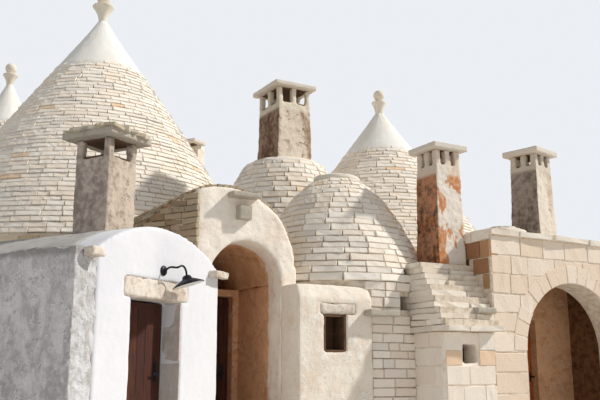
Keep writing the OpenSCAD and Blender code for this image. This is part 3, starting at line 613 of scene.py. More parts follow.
def course_points(face, low, high, u0, u1, gap):
    """Free stretches of one course, found from points along its three heights."""
    count = max(2, round((u1 - u0) / gap))
    edge = (high - low) * PROBE_EDGE
    heights = (low + edge, (low + high) / 2, high - edge)
    runs, start = [], None
    for k in range(count + 1):
        u = u0 + (u1 - u0) * k / count
        free = True
        for z in heights:
            point, out = face(u, z)
            if not inside(point - out * PROBE_IN) or inside(point + out * PROBE_OUT):
                free = False
                break
        if free and start is None:
            start = u
        if start is not None and (not free or k == count):
            end = u if free else u - (u1 - u0) / count
            if end - start > SHORTEST_RUN:
                runs.append((start, end))
            start = None
    return runs


def split_run(start, end, shortest, longest, rng):
    """Cuts a stretch into stones of uneven length that fill it."""
    marks = [start]
    while end - marks[-1] > longest:
        marks.append(marks[-1] + rng.uniform(shortest, longest))
    if end - marks[-1] < shortest * 0.5 and len(marks) > 1:
        marks.pop()
    return list(zip(marks, marks[1:] + [end]))


def facing_of(out, tilt, rng, loose):
    turn = math.atan2(out.y, out.x) + math.pi / 2
    return (-tilt + rng.gauss(0, loose), rng.gauss(0, loose), turn + rng.gauss(0, loose * 1.6))


def lay_face(face, levels, u0, u1, shortest, longest, rng, depth=0.14, proud=0.03, joint=0.008,
             loose=0.012, gap=0.04, past=0.0):
    """Courses between the levels. Past carries the end stones round a corner."""
    stones = []
    for low, high in zip(levels, levels[1:]):
        for start, end in course_points(face, low, high, u0, u1, gap):
            start -= past if start - u0 < gap else 0.0
            end += past if u1 - end < gap else 0.0
            for a, b in split_run(start, end, shortest, longest, rng):
                size = (b - a - joint, depth, high - low - joint * rng.uniform(0.7, 1.5))
                tone = rng.random()
                point, out = face((a + b) / 2, (low + high) / 2)
                centre = point + out * (proud + rng.uniform(-0.3, 0.35) * proud - depth / 2)
                stones.append((centre[:], facing_of(out, 0.0, rng, loose), size, tone,
                               rng.randrange(KINDS)))
    return stones


def lay_wall(corner, along_deg, length, levels, shortest, longest, rng, **laid):
    face = flat_face(corner, along_deg)
    return lay_face(face, levels, 0.0, length, shortest, longest, rng, **laid)


def side_of(low, high, side):
    """Where a box's side starts, which way it runs and how long it is."""
    wide, deep = high.x - low.x, high.y - low.y
    return {"front": (low, 0, wide), "right": ((high.x, low.y), 90, deep),
            "back": (high, 180, wide), "left": ((low.x, high.y), -90, deep)}[side]


def course_levels(low, high, step, rng, spread=0.18):
    """Heights of the beds between two levels, with courses of uneven height."""
    count = max(1, round((high - low) / step))
    parts = [1 + rng.uniform(-spread, spread) for _ in range(count)]
    total, levels = sum(parts), [low]
    for part in parts:
        levels.append(levels[-1] + part / total * (high - low))
    return levels


print("ready to lay")

# %% [markdown]
# ## The corbelled cones and the two domes
# Thin limestone slabs lie in level rings, each ring a little smaller than the one
# below it. The flank bulges, so the rings are walked along its slant, and each
# stone leans back a little more than the flank does, which leaves the small steps
# that catch the light.


# %% Rings of stone up a flank
ROOF_PROBE = 0.06


def cone_profile(foot, z0, z1, bulge, share, neck=0.09):
    def at(t):
        return foot + (neck - foot) * t + bulge * 4 * t * (1 - t) ** 2, z0 + (z1 - z0) * t
    return [at(share * k / 60) for k in range(61)]


def dome_profile(foot, z0, h, share):
    def at(t):
        return foot * math.sqrt(max(0.0, 1 - t ** 1.1)), z0 + h * t
    return [at(share * (1 - (1 - k / 90) ** 1.6)) for k in range(91)]


def walk(profile, steps):
    """Radii and heights at given lengths up a profile's slant, and its whole length."""
    lengths = [0.0]
    for (r0, z0), (r1, z1) in zip(profile, profile[1:]):
        lengths.append(lengths[-1] + math.hypot(r1 - r0, z1 - z0))
    r = np.interp(steps, lengths, [p[0] for p in profile])
    z = np.interp(steps, lengths, [p[1] for p in profile])
    return r, z, lengths[-1]


def lay_rings(centre, profile, step, rng, lean=1.12, depth=0.2, proud=0.028, joint=0.005,
              bed=0.012, longest=0.46, shortest=0.19, narrowest=0.12, dull=0.0):
    _, _, total = walk(profile, [0.0])
    marks = course_levels(0.0, total, step, rng, 0.14)
    radii, heights, _ = walk(profile, marks)
    stones = []
    for k in range(len(marks) - 1):
        r, z = (radii[k] + radii[k + 1]) / 2, (heights[k] + heights[k + 1]) / 2
        slope = math.atan2(radii[k] - radii[k + 1], heights[k + 1] - heights[k])
        if r < narrowest:
            continue
        wide = min(longest, r * 0.42)
        parts = split_run(0.0, 2 * math.pi * r, min(shortest, wide * 0.5), wide, rng)
        shift = rng.uniform(0, 6.28)
        step_out = rng.uniform(-0.003, 0.006)
        for a, b in parts:
            angle = shift + (a + b) / 2 / r
            ring_out = Vector((math.cos(angle), math.sin(angle), 0))
            normal = (ring_out * math.cos(slope) + UP * math.sin(slope)).normalized()
            point = Vector((centre[0], centre[1], z)) + ring_out * r
            if inside(point + normal * ROOF_PROBE):
                continue
            stand = proud + step_out + rng.uniform(-0.005, 0.006)
            leaned = slope * lean
            face = (ring_out * math.cos(leaned) + UP * math.sin(leaned)).normalized()
            place = point + normal * stand - face * depth / 2
            stones.append((place[:], facing_of(ring_out, leaned, rng, 0.004),
                           (b - a - joint * rng.uniform(0.3, 1.8), depth,
                            (marks[k + 1] - marks[k]) - bed * rng.uniform(0.3, 1.8)),
                           rng.random() * (0.3 if r < dull else 1.0), rng.randrange(KINDS)))
    return stones


# %% The three cones
def middle_of(name):
    low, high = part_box(name)
    return (low + high) / 2, (high.x - low.x) / 2, low.z, high.z


CAP_SHARE = 0.82
THIN_CHIPS = 0.009, 5.0
CONES = {"main_cone": (0.29, 0.108, 0.765, 11), "far_cone": (0.15, 0.108, 0.8, 12),
         "rear_cone": (0.12, 0.098, 0.725, 13)}
for name, (bulge, step, stop, seed) in CONES.items():
    centre, foot, z0, top = middle_of(name)
    profile = cone_profile(foot, z0, z0 + (top - z0) / CAP_SHARE, bulge, stop)
    rings = lay_rings(centre, profile, step, random.Random(seed), dull=0.8)
    build_stones(f"{name}_courses", rings, roof_stone, "roof_stone", *THIN_CHIPS, seed)

# %% [markdown]
# The domes are laid the same way. Their rings close in fast near the top, where
# a flat round of mortar seals the last gap. A lathe turns that round, and every
# other round piece, from an outline.

# %% The domes
KITCHEN_H, KITCHEN_SHARE = 1.95, 0.718
CENTRE_FOOT, CENTRE_H, CENTRE_SHARE = 1.4, 1.80, 0.985
centre, foot, z0, _ = middle_of("kitchen_dome")
rings = lay_rings(centre, dome_profile(foot, z0, KITCHEN_H, KITCHEN_SHARE), 0.105,
                  random.Random(21), 1.0, longest=0.5)
build_stones("kitchen_dome_courses", rings, roof_stone, "roof_stone", *THIN_CHIPS, 21.0)

low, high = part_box("centre_dome")
CENTRE_AT = Vector((high.x - CENTRE_FOOT, high.y - CENTRE_FOOT, 0))
rings = lay_rings(CENTRE_AT, dome_profile(CENTRE_FOOT, low.z, CENTRE_H, CENTRE_SHARE), 0.108,
                  random.Random(22), 1.0, longest=0.55)
rings = [s for s in rings if s[0][0] > low.x]
build_stones("centre_dome_courses", rings, roof_stone, "roof_stone", *THIN_CHIPS, 22.0)


# %% A lathe for round pieces
ON_AXIS = 1e-6


def lathe(name, outline, centre, sides, slot, material, wobble=0.0, seed=0, moved=None):
    """Turns an outline of radius and height round a centre; both ends close."""
    rng = random.Random(seed)
    bm = bmesh.new()
    rings = []
    for r, z in outline:
        if r < ON_AXIS:
            rings.append([bm.verts.new((centre[0], centre[1], z))])
            continue
        rings.append([bm.verts.new((centre[0] + r * math.cos(a) + rng.uniform(-wobble, wobble),
                                    centre[1] + r * math.sin(a) + rng.uniform(-wobble, wobble),
                                    z + rng.uniform(-wobble, wobble)))
                      for a in (2 * math.pi * k / sides for k in range(sides))])
    for low_ring, high_ring in zip(rings, rings[1:]):
        for k in range(sides):
            corner = [low_ring[k % len(low_ring)], low_ring[(k + 1) % len(low_ring)],
                      high_ring[(k + 1) % len(high_ring)], high_ring[k % len(high_ring)]]
            corner = list(dict.fromkeys(corner))
            if len(corner) > 2:
                bm.faces.new(corner)
    bmesh.ops.recalc_face_normals(bm, faces=bm.faces)
    piece = from_bmesh(name, bm)
    for polygon in piece.data.polygons:
        polygon.use_smooth = True
    if moved:
        piece.data.transform(moved)
    return finish_piece(piece, slot, material)


dome_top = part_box("centre_dome")[1].z
SEAL = ((0.0, -0.1), (0.36, -0.1), (0.37, -0.01), (0.3, 0.02), (0.16, 0.035), (0.0, 0.04))
lathe("dome_seal", [(r, dome_top + z) for r, z in SEAL], CENTRE_AT, 40, "roof_stone",
      finial_stone, 0.008, 5)

middle, _, _, flat = middle_of("kitchen_dome")
SHOULDER = ((0.0, -0.08), (0.72, -0.06), (0.74, 0.0), (0.64, 0.07), (0.52, 0.12), (0.4, 0.15),
            (0.0, 0.16))
lathe("kitchen_shoulder", [(r, flat + z) for r, z in SHOULDER], middle, 48, "roof_stone",
      mound_plaster, 0.012, 6)

# %% [markdown]
# Each cone ends in a plastered cap. On it stands a stone that flares to a thin
# saucer, with a ball on a short stem.

# %% Caps and finials
NECK_R, CAP_LAP = 0.09, 0.1
FINIALS = {"main_cone": (0.235, 0.15, 0.37), "far_cone": (0.2, 0.153, 0.3),
           "rear_cone": (0.164, 0.127, 0.27)}


def finial_outline(z, saucer, ball, flare):
    points = [(0.0, z - 0.12), (NECK_R, z - 0.12)]
    for k in range(11):
        t = k / 10
        points.append((NECK_R + (saucer - NECK_R) * t ** 2.1, z + flare * t))
    rim = z + flare
    points += [(saucer + 0.004, rim + 0.012), (saucer - 0.004, rim + 0.028),
               (ball * 0.55, rim + 0.04), (ball * 0.4, rim + 0.06), (ball * 0.36, rim + 0.085)]
    middle = rim + 0.065 + ball * 0.97
    for k in range(15):
        a = math.radians(-66 + 156 * k / 14)
        points.append((ball * math.cos(a) if k < 14 else 0.0, middle + ball * math.sin(a)))
    return points


for name, (bulge, step, stop, seed) in CONES.items():
    centre, foot, z0, top = middle_of(name)
    neck = z0 + (top - z0) / CAP_SHARE
    profile = [(r, z) for r, z in cone_profile(foot, z0, neck, bulge, 1.0)
               if z > z0 + (neck - z0) * stop - CAP_LAP]
    skirt, foot_z = profile[0]
    outline = [(0.0, foot_z - 0.03), (skirt + 0.012, foot_z - 0.03),
               (skirt + 0.032, foot_z - 0.012)]
    outline += [(r + 0.03 * (r - NECK_R) / skirt, z + 0.02) for r, z in profile]
    outline.append((0.0, neck + 0.03))
    cap = lathe(f"{name}_cap", outline, centre, 72, "lime_plaster", cap_plaster, 0.006, seed)
    spire = lathe(f"{name}_finial", finial_outline(neck, *FINIALS[name]), centre, 48, "limestone",
                  finial_stone, 0.0012, seed)
    if name == "main_cone":
        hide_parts("trullo_caps")
        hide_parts("finials")

# %% [markdown]
# ## Round walls
# Under the cones the rooms are walls of rougher blocks. From the photo's side
# they hardly show, but the part is seen from all round.

# %% Courses round the rooms
SEAM_LAP = 0.08
for name, step, longest, seed in (("main_drum", 0.21, 0.58, 31), ("far_drum", 0.21, 0.55, 32),
                                  ("rear_drum", 0.2, 0.55, 33), ("kitchen_drum", 0.17, 0.42, 34)):
    centre, radius, _, top = middle_of(name)
    rng = random.Random(seed)
    face = round_face(centre, radius)
    half_way = math.pi * radius + SEAM_LAP
    stones = lay_face(face, course_levels(0.0, top, step, rng), -half_way, half_way, 0.25, longest,
                      rng, depth=0.2, proud=0.03, gap=0.06)
    build_stones(f"{name}_courses", stones, wall_stone, seed=float(seed))

low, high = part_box("centre_drum")
CENTRE_R = 1.38
rng = random.Random(35)
stones = lay_face(round_face(CENTRE_AT, CENTRE_R), course_levels(0.0, high.z, 0.12, rng),
                  -math.pi * CENTRE_R, math.pi * CENTRE_R, 0.16, 0.42, rng, depth=0.18, gap=0.04)
build_stones("centre_drum_courses", stones, gable_stone, seed=35.0)

print("round walls done")

# %% [markdown]
# ## Walls that weather in one mass
# Plaster and whitewash follow the rubble behind them, so such a wall has soft
# lumps and rounded edges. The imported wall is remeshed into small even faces, and
# a node tree pushes them in and out along their normals by two noises.


# %% The weathering tree
def weather_tree():
    tree, given, end = new_tree("weather_face", "Lump depth", "Lumps per metre", "Pit depth",
                                "Pits per metre")
    heights = []
    for depth, count, detail in (("Lump depth", "Lumps per metre", 2.0),
                                 ("Pit depth", "Pits per metre", 3.0)):
        noise = add(tree, "ShaderNodeTexNoise", {"Scale": given[count], "Detail": detail})
        centred = add(tree, "ShaderNodeMath", {0: noise, 1: 0.5}, operation="SUBTRACT")
        heights.append(add(tree, "ShaderNodeMath", {0: centred, 1: given[depth]},
                           operation="MULTIPLY"))
    total = add(tree, "ShaderNodeMath", dict(enumerate(heights)))
    normal = add(tree, "GeometryNodeInputNormal")
    offset = add(tree, "ShaderNodeVectorMath", {0: normal, "Scale": total}, operation="SCALE")
    moved = add(tree, "GeometryNodeSetPosition", {
        "Geometry": given["Geometry"], "Offset": offset})
    soft = add(tree, "GeometryNodeSetShadeSmooth", {"Geometry": moved})
    done = add(tree, "GeometryNodeSetMaterial", {"Geometry": soft, "Material": given["Finish"]})
    tree.links.new(done, end)
    return tree


weather_face = weather_tree()
WELD = 0.0002


def worn(piece, slot, finish, voxel, lump, lumps, pit, pits):
    """Remeshes a piece evenly, weathers it and finishes it."""
    remesh = piece.modifiers.new("even", "REMESH")
    remesh.mode, remesh.voxel_size = "VOXEL", voxel
    add_modifier(piece, weather_face, Lump_depth=lump, Lumps_per_metre=lumps, Pit_depth=pit,
                 Pits_per_metre=pits, Finish=finish)
    return finish_piece(settled(piece), slot)


def weathered(name, sources, finish, slot, voxel=0.035, lump=0.03, lumps=4.0, pit=0.01,
              pits=16.0, shape=None):
    """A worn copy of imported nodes, which it stands for."""
    bm = bmesh.new()
    for source in sources:
        bm.from_mesh(nodes[source].data)
    bmesh.ops.remove_doubles(bm, verts=bm.verts, dist=WELD)
    if shape:
        for v in bm.verts:
            v.co = shape(v.co)
    piece = worn(from_bmesh(name, bm), slot, finish, voxel, lump, lumps, pit, pits)
    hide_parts(*sources)


def placing(x, y, turn_deg=0.0):
    return Matrix.Translation((x, y, 0)) @ Matrix.Rotation(math.radians(turn_deg), 4, "Z")


# %% The wing
WING_TURN = 32.0
wing_frame = placing(-2.555, -8.805, WING_TURN)
weathered("wing_front", ["wing_front_left", "wing_front_right", "wing_gable"], whitewash,
          "lime_plaster", 0.03, 0.02, 3.0, 0.006, 14.0)
weathered("wing_left_rough", ["wing_left_wall"], grey_rough, "rough_stone", 0.022, 0.1, 4.5,
          0.05, 16.0)
weathered("wing_right_white", ["wing_right_wall", "wing_back_wall"], whitewash, "lime_plaster",
          0.05, 0.03, 4.0, 0.01)
weathered("wing_roof", ["wing_vault"], vault_plaster, "rough_stone", 0.04, 0.04, 2.5, 0.015)
weathered("worn_lintels", ["stone_lintels"], lintel_plaster, "limestone", 0.022, 0.05, 6.0, 0.016)
weathered("worn_spouts", ["spout_stones"], lintel_plaster, "limestone", 0.018, 0.05, 8.0, 0.012)

# %% The porch and the buttress
weathered("porch_gable", ["porch_front"], gable_plaster, "lime_plaster", 0.028, 0.055, 3.6,
          0.02, 12.0)
weathered("porch_sides", ["porch_left_wall", "porch_right_wall"], inner_plaster, "limestone",
          0.045, 0.04, 4.0, 0.015)
weathered("porch_barrel", ["porch_vault"], inner_plaster, "lime_plaster", 0.05, 0.05, 4.0, 0.02)
weathered("buttress_plaster", ["niche_buttress"], porch_plaster, "lime_plaster", 0.026, 0.03,
          5.0, 0.012)
weathered("annex_plaster", ["annex_walls"], gable_plaster, "lime_plaster", 0.03, 0.03, 5.0, 0.012)


# %% The chimneys
LANTERN, SILL_REACH = 0.3, 0.03


def taper(node, foot_grow, height_share, raised=0.0):
    """Flares the foot of a shaft, as hand-made plaster does, and may raise its sill."""
    low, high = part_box(node)
    middle = (low + high) / 2
    reach = (high.z - low.z) * height_share

    def shape(co):
        grow = 1 + foot_grow * max(0.0, 1 - (co.z - low.z) / reach)
        sill = abs(co.z - high.z + LANTERN) < SILL_REACH
        return Vector((middle.x + (co.x - middle.x) * grow, middle.y + (co.y - middle.y) * grow,
                       co.z + (raised if sill else 0.0)))
    return shape


weathered("kitchen_shaft_plaster", ["kitchen_chimney"], kitchen_shaft, "lime_plaster", 0.026,
          0.04, 3.5, 0.02, shape=taper("kitchen_chimney", 0.06, 1.0))
weathered("oven_shaft_plaster", ["oven_chimney"], oven_shaft, "lime_plaster", 0.018, 0.035, 4.0,
          0.014, shape=taper("oven_chimney", 0.16, 1.0, 0.07))
weathered("loggia_shaft_plaster", ["loggia_chimney"], loggia_shaft, "lime_plaster", 0.018, 0.03,
          4.0, 0.014, shape=taper("loggia_chimney", 0.16, 0.9, 0.1))
WING_LANTERN, POST_REACH = 0.24, 0.1


def corner_posts(co):
    """Sinks the middle post of each side, which the real lantern lacks."""
    low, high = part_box("wing_chimney")
    middle = (low + high) / 2
    sill = high.z - WING_LANTERN
    local = Matrix.Rotation(math.radians(-WING_TURN), 3, "Z") @ (co - middle)
    if co.z > sill - 0.02 and min(abs(local.x), abs(local.y)) < POST_REACH:
        return Vector((co.x, co.y, min(co.z, sill - 0.004)))
    return co


weathered("wing_shaft_plaster", ["wing_chimney"], wing_shaft, "lime_plaster", 0.018, 0.035, 4.0,
          0.014, shape=corner_posts)
weathered("rear_shaft_plaster", ["rear_chimney"], porch_plaster, "lime_plaster", 0.035, 0.04)
print("weathered pieces done")

# %% [markdown]
# ## The loggia building
# Its front is squared stone in mortar, with a ring of wedge-shaped arch stones.
# The courses stop at the ring by the same test for free wall, and each wedge is
# cut from the ring's own two circles.

# %% Ashlar on the loggia's front and sides
low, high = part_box("loggia_front")
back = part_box("loggia_roof")[1]
COPING_T, COPING_OUT = 0.085, 0.06
coping_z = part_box("loggia_coping")[1].z - COPING_T
rng = random.Random(41)
levels = course_levels(0.0, coping_z, 0.275, rng, 0.1)
stones = lay_wall(*side_of(low, high, "front"), levels, 0.3, 0.62, rng, depth=0.16,
                  proud=0.008, joint=0.008, loose=0.003, gap=0.02, past=0.008)
build_stones("loggia_ashlar", stones, ashlar_stone, chip=0.01, per_metre=6.0, seed=41.0)
rng = random.Random(42)
levels = course_levels(0.0, back.z, 0.24, rng, 0.12)
SIDE_LAID = {"depth": 0.16, "proud": 0.014, "joint": 0.012, "loose": 0.006, "past": 0.01}
right, left, rear = (lay_wall(*side_of(low, back, side), levels, 0.28, 0.6, rng, **SIDE_LAID)
                     for side in ("right", "left", "back"))
# The left side, which the sun doesn't reach, takes the darker stone: painted shade.
build_stones("loggia_left_blocks", left, inner_stone, chip=0.016, seed=47.0)
build_stones("loggia_side_blocks", right + rear, wall_stone, chip=0.016, seed=42.0)


# %% Arch stones as wedges
def bevelled(piece, finish, width):
    piece.data.materials.append(finish)
    bevel = piece.modifiers.new("worn edge", "BEVEL")
    bevel.width, bevel.segments = width, 2
    return settled(piece)


def wedge_ring(name, centre, inner, outer, y0, y1, count, rng, finish, gap=0.009, rounds=3):
    bm = bmesh.new()
    tone = bm.verts.layers.float.new("tone")
    for k in range(count):
        a0 = math.pi * k / count + gap / 2 / inner
        a1 = math.pi * (k + 1) / count - gap / 2 / inner
        stand = rng.uniform(0.0, 0.014)
        end = outer + rng.uniform(-0.012, 0.012)
        shade = rng.random()
        angles = [a0 + (a1 - a0) * j / rounds for j in range(rounds + 1)]
        made = [[bm.verts.new((centre[0] + r * math.cos(a), y, centre[1] + r * math.sin(a)))
                 for a in angles]
                for r in (inner + 0.002, end) for y in (y0 - stand, y1 + stand * 0.5)]
        for row in made:
            for v in row:
                v[tone] = shade
        for p, q in ((0, 1), (1, 3), (3, 2), (2, 0)):
            for j in range(rounds):
                bm.faces.new((made[p][j], made[p][j + 1], made[q][j + 1], made[q][j]))
        for j in (0, rounds):
            bm.faces.new((made[0][j], made[1][j], made[3][j], made[2][j]))
    bmesh.ops.recalc_face_normals(bm, faces=bm.faces)
    return bevelled(from_bmesh(name, bm), finish, 0.009)


low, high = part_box("loggia_arch_ring")
RING_W = 0.27
ARCH_R = (high.x - low.x) / 2 - RING_W
ring_centre = ((low.x + high.x) / 2, low.z)
finish_piece(wedge_ring("arch_wedges", ring_centre, ARCH_R, ARCH_R + RING_W, low.y - 0.006,
                        high.y, 17, random.Random(43), ashlar_stone), "limestone")


# %% [markdown]
# Thin slabs lie along the top of the front. The annex beside it has a roof of
# twelve steps, each a row of such slabs set a little further in. The mound on
# the loggia's roof is a heap of plastered rings, so the lathe turns it.


# %% The coping
def row_of_slabs(corner, along_deg, length, z, thick, depth, shortest, longest, rng, proud):
    face = flat_face(corner, along_deg)
    stones = []
    for a, b in split_run(0.0, length, shortest, longest, rng):
        point, out = face((a + b) / 2, z + thick / 2)
        stand = proud + rng.uniform(-0.02, 0.02)
        stones.append(((point + out * (stand - depth / 2))[:], facing_of(out, 0, rng, 0.02),
                       (b - a - 0.01, depth, thick * rng.uniform(0.85, 1.1)), rng.random(),
                       rng.randrange(KINDS)))
    return stones


CORNER_OVER = 0.03
low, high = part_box("loggia_coping")
rng = random.Random(44)
top_stones = row_of_slabs((low.x - CORNER_OVER, low.y), 0, high.x - low.x + CORNER_OVER, coping_z,
                          COPING_T, 0.4, 0.4, 0.9, rng, COPING_OUT)
top_stones += row_of_slabs(*side_of(low, high, "left"), low.z, high.z - low.z, 0.34, 0.3, 0.6,
                           rng, 0.03)
build_stones("coping_stones", top_stones, pale_slab, chip=0.014, seed=44.0)

# %% The annex: its stepped roof and its walls
low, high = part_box("annex_stepped_roof")
rng = random.Random(45)
ROWS, ROW_H, ROW_IN = 12, 0.0825, 0.05
step_stones = []
for k in range(ROWS):
    z, inset, thick = low.z + k * ROW_H, k * ROW_IN, ROW_H - 0.005
    step_stones += row_of_slabs((low.x - CORNER_OVER, low.y + inset), 0,
                                high.x - low.x + CORNER_OVER, z, thick, 0.38, 0.28, 0.7, rng,
                                0.035 if k else 0.09)
    step_stones += row_of_slabs((low.x, high.y), -90, high.y - low.y - inset, z, thick, 0.3,
                                0.24, 0.6, rng, 0.03)
build_stones("annex_roof_slabs", step_stones, pale_slab, chip=0.018, per_metre=6.0, seed=45.0)

low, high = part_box("annex_walls")
rng = random.Random(48)
ANNEX_LAID = {"depth": 0.12, "proud": 0.014, "joint": 0.008, "loose": 0.006}
blocks = []
for side, gap in (("front", 0.02), ("left", 0.04)):
    blocks += lay_wall(*side_of(low, high, side), course_levels(0.0, high.z, 0.22, rng), 0.25,
                       0.5, rng, gap=gap, **ANNEX_LAID)
build_stones("annex_blocks", blocks, gable_stone, chip=0.012, seed=48.0)

# %% The mound on the loggia's roof
low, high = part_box("roof_mound")
MOUND_R = (high.y - low.y) / 2
centre = Vector((high.x - MOUND_R, (low.y + high.y) / 2, 0))
mound = [(0.0, low.z)]
for r0, r1, z0, z1 in ((0.67, 0.66, 0.0, 0.09), (0.61, 0.57, 0.11, 0.2), (0.5, 0.45, 0.22, 0.3),
                       (0.37, 0.31, 0.33, 0.39), (0.22, 0.12, 0.42, 0.45)):
    mound += [(r0, low.z + z0), (r0 + 0.005, low.z + (z0 + z1) / 2), (r1, low.z + z1)]
lathe("mound_rings", mound + [(0.0, low.z + 0.46)], centre, 56, "lime_plaster", mound_plaster,
      0.009, 46)
print("loggia done")

# %% [markdown]
# ## Doors
# Each plank door is boards on ledges, with a forged pull. The glazed door has
# stiles and rails, beads round its panes and a lever. They are built in the
# door's own frame, hinged at its left edge, and then placed by one matrix.


# %% Boards with worn edges
def bevelled_boxes(name, boxes, finish, place, width=0.004, seed=1):
    """Boxes given as two corners, each with a tone, edges worn, in a door's frame."""
    rng = random.Random(seed)
    bm = bmesh.new()
    tone = bm.verts.layers.float.new("tone")
    for low, high in boxes:
        shade = rng.random()
        corners = [bm.verts.new((x, y, z)) for x in (low[0], high[0]) for y in (low[1], high[1])
                   for z in (low[2], high[2])]
        for v in corners:
            v[tone] = shade
        for quad in ("0132", "4675", "0451", "2376", "0264", "1573"):
            bm.faces.new([corners[int(k)] for k in quad])
    bmesh.ops.recalc_face_normals(bm, faces=bm.faces)
    bm.transform(place)
    return bevelled(from_bmesh(name, bm), finish, width)


# %% The plank doors
FLOOR_T, LIFT, DOOR_T = 0.08, 0.02, 0.045
wing_hinge = wing_frame @ placing(0.918, 0.315)
porch_hinge = placing(-0.27, -5.635)
glazed_hinge = placing(4.84, -6.835)


def plank_door(name, body, hinge, w, h, planks, seed):
    z0 = FLOOR_T + LIFT
    board = w / planks
    boxes = [((k * board + 0.0015, -DOOR_T + 0.003, z0), ((k + 1) * board - 0.0015, -0.014, z0 + h))
             for k in range(planks)]
    boxes += [((0.03, -0.016, z0 + h * s), (w - 0.03, -0.0005, z0 + h * s + 0.13))
              for s in (0.1, 0.46, 0.82)]
    boxes += [((0.0, -DOOR_T, z0), (0.055, -0.012, z0 + h)),
              ((w - 0.055, -DOOR_T, z0), (w, -0.012, z0 + h)),
              ((0.055, -DOOR_T, z0 + h - 0.07), (w - 0.055, -0.012, z0 + h))]
    leaf = bevelled_boxes(name, boxes, plank_wood, hinge, seed=seed)
    finish_piece(leaf, "dark_wood", body=body)
    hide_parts(name.replace("_planks", ""))
    pull = bevelled_boxes(f"{name}_pull", [
        ((w - 0.115, -DOOR_T - 0.008, 0.98), (w - 0.075, -DOOR_T + 0.002, 1.2)),
        ((w - 0.105, -DOOR_T - 0.042, 1.06), (w - 0.085, -DOOR_T - 0.006, 1.08)),
        ((w - 0.19, -DOOR_T - 0.05, 1.055), (w - 0.07, -DOOR_T - 0.036, 1.085)),
        ((w - 0.1, -DOOR_T - 0.014, 1.0), (w - 0.09, -DOOR_T - 0.004, 1.03))],
        iron, hinge, 0.003, seed)
    finish_piece(pull, "black_iron", body=body)


plank_door("wing_door_planks", "wing_door", wing_hinge, 0.86, 1.78, 6, 51)
plank_door("porch_door_planks", "porch_door", porch_hinge, 0.86, 2.08, 6, 52)


# %% The glazed door
def glazed_leaf(w, h, stile, mid_z):
    z0, y0, y1 = FLOOR_T + LIFT, -DOOR_T, 0.0
    mid = z0 + mid_z
    frame_boxes = [((0, y0, z0), (stile, y1, z0 + h)), ((w - stile, y0, z0), (w, y1, z0 + h)),
                   ((stile, y0 + 0.001, z0), (w - stile, y1 - 0.001, z0 + stile)),
                   ((stile, y0 + 0.001, z0 + h - stile), (w - stile, y1 - 0.001, z0 + h)),
                   ((stile, y0 + 0.001, mid), (w - stile, y1 - 0.001, mid + stile))]
    bead = 0.014
    for low_z, high_z in ((z0 + stile, mid), (mid + stile, z0 + h - stile)):
        for side in (-0.0295, -0.0025):
            a, b = side - 0.013, side
            frame_boxes += [((stile - 0.002, a, low_z), (stile + bead, b, high_z)),
                            ((w - stile - bead, a, low_z), (w - stile + 0.002, b, high_z)),
                            ((stile, a, low_z - 0.002), (w - stile, b, low_z + bead)),
                            ((stile, a, high_z - bead), (w - stile, b, high_z + 0.002))]
    leaf = bevelled_boxes("glazed_door_frame", frame_boxes, door_wood, glazed_hinge, 0.003, 53)
    finish_piece(leaf, "brown_wood", body="glazed_door")
    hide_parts("glazed_door")
    lever = bevelled_boxes("glazed_door_lever", [
        ((w - 0.06, y0 - 0.006, 0.93), (w - 0.025, y0 + 0.002, 1.09)),
        ((w - 0.052, y0 - 0.043, 1.0), (w - 0.033, y0 - 0.004, 1.022)),
        ((w - 0.052, y0 - 0.045, 0.998), (w + 0.052, y0 - 0.032, 1.024)),
        ((w - 0.06, y1 - 0.002, 0.93), (w - 0.025, y1 + 0.004, 1.09))],
        iron, glazed_hinge, 0.003, 54)
    finish_piece(lever, "black_iron", body="glazed_door")


glazed_leaf(0.78, 1.82, 0.075, 0.88)
print("doors done")

# %% [markdown]
# ## Small stones that stand out
# A slab and a block jut from the porch's gable, a shelf and a sill from the
# round wall. Every chimney has its slab, and broken ones are piled on the wing's.
# The niche beside the porch is lined with dark plaster that paints the shade inside it.


# %% Slabs that jut out
def jutting(name, low, high, finish, seed, turn=Matrix.Identity(4), voxel=0.014, lump=0.03,
            pit=0.008):
    block = bevelled_boxes(name, [(low, high)], finish, turn, 0.008, seed)
    return worn(block, "limestone", finish, voxel, lump, 9.0, pit, 30.0)


jutting("gable_slab", (-0.13, -7.33, 3.4), (0.3, -7.05, 3.47), slab_stone, 61)
jutting("gable_block", (0.0, -7.27, 3.1), (0.19, -7.05, 3.3), slab_stone, 62)
jutting("wall_shelf", (1.72, -7.82, 1.84), (2.22, -7.4, 1.93), slab_stone, 63)
jutting("wall_sill", (3.2, -8.3, 1.9), (3.56, -8.05, 1.98), slab_stone, 64)

# %% Slabs over the chimneys
SLAB_T, SLAB_OVER = 0.09, 0.095


def chimney_slab(shaft, w, d, over, turn_deg, finish, seed, lantern=LANTERN, **looks):
    """A slab over a lantern, seated on the posts, and dark plates under it and on the sill that
    paint the shade inside the lantern.
    """
    low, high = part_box(shaft)
    middle = (low + high) / 2
    half_w, half_d = w / 2 + over, d / 2 + over
    rim = 0.035
    at_shaft = placing(middle.x, middle.y, turn_deg)
    # Dark plates under the slab and on the sill: painted shade inside the lantern.
    painted_shade_plates = bevelled_boxes(f"{shaft}_soot", [
        ((rim - w / 2, rim - d / 2, z - 0.012), (w / 2 - rim, d / 2 - rim, z + 0.012))
        for z in (high.z - 0.005, high.z - lantern + 0.015)], soot_plaster, at_shaft, 0.003, seed)
    finish_piece(painted_shade_plates, "lime_plaster")
    return jutting(f"{shaft}_slab", (-half_w, -half_d, high.z), (half_w, half_d, high.z + SLAB_T),
                   finish, seed, at_shaft, **looks)


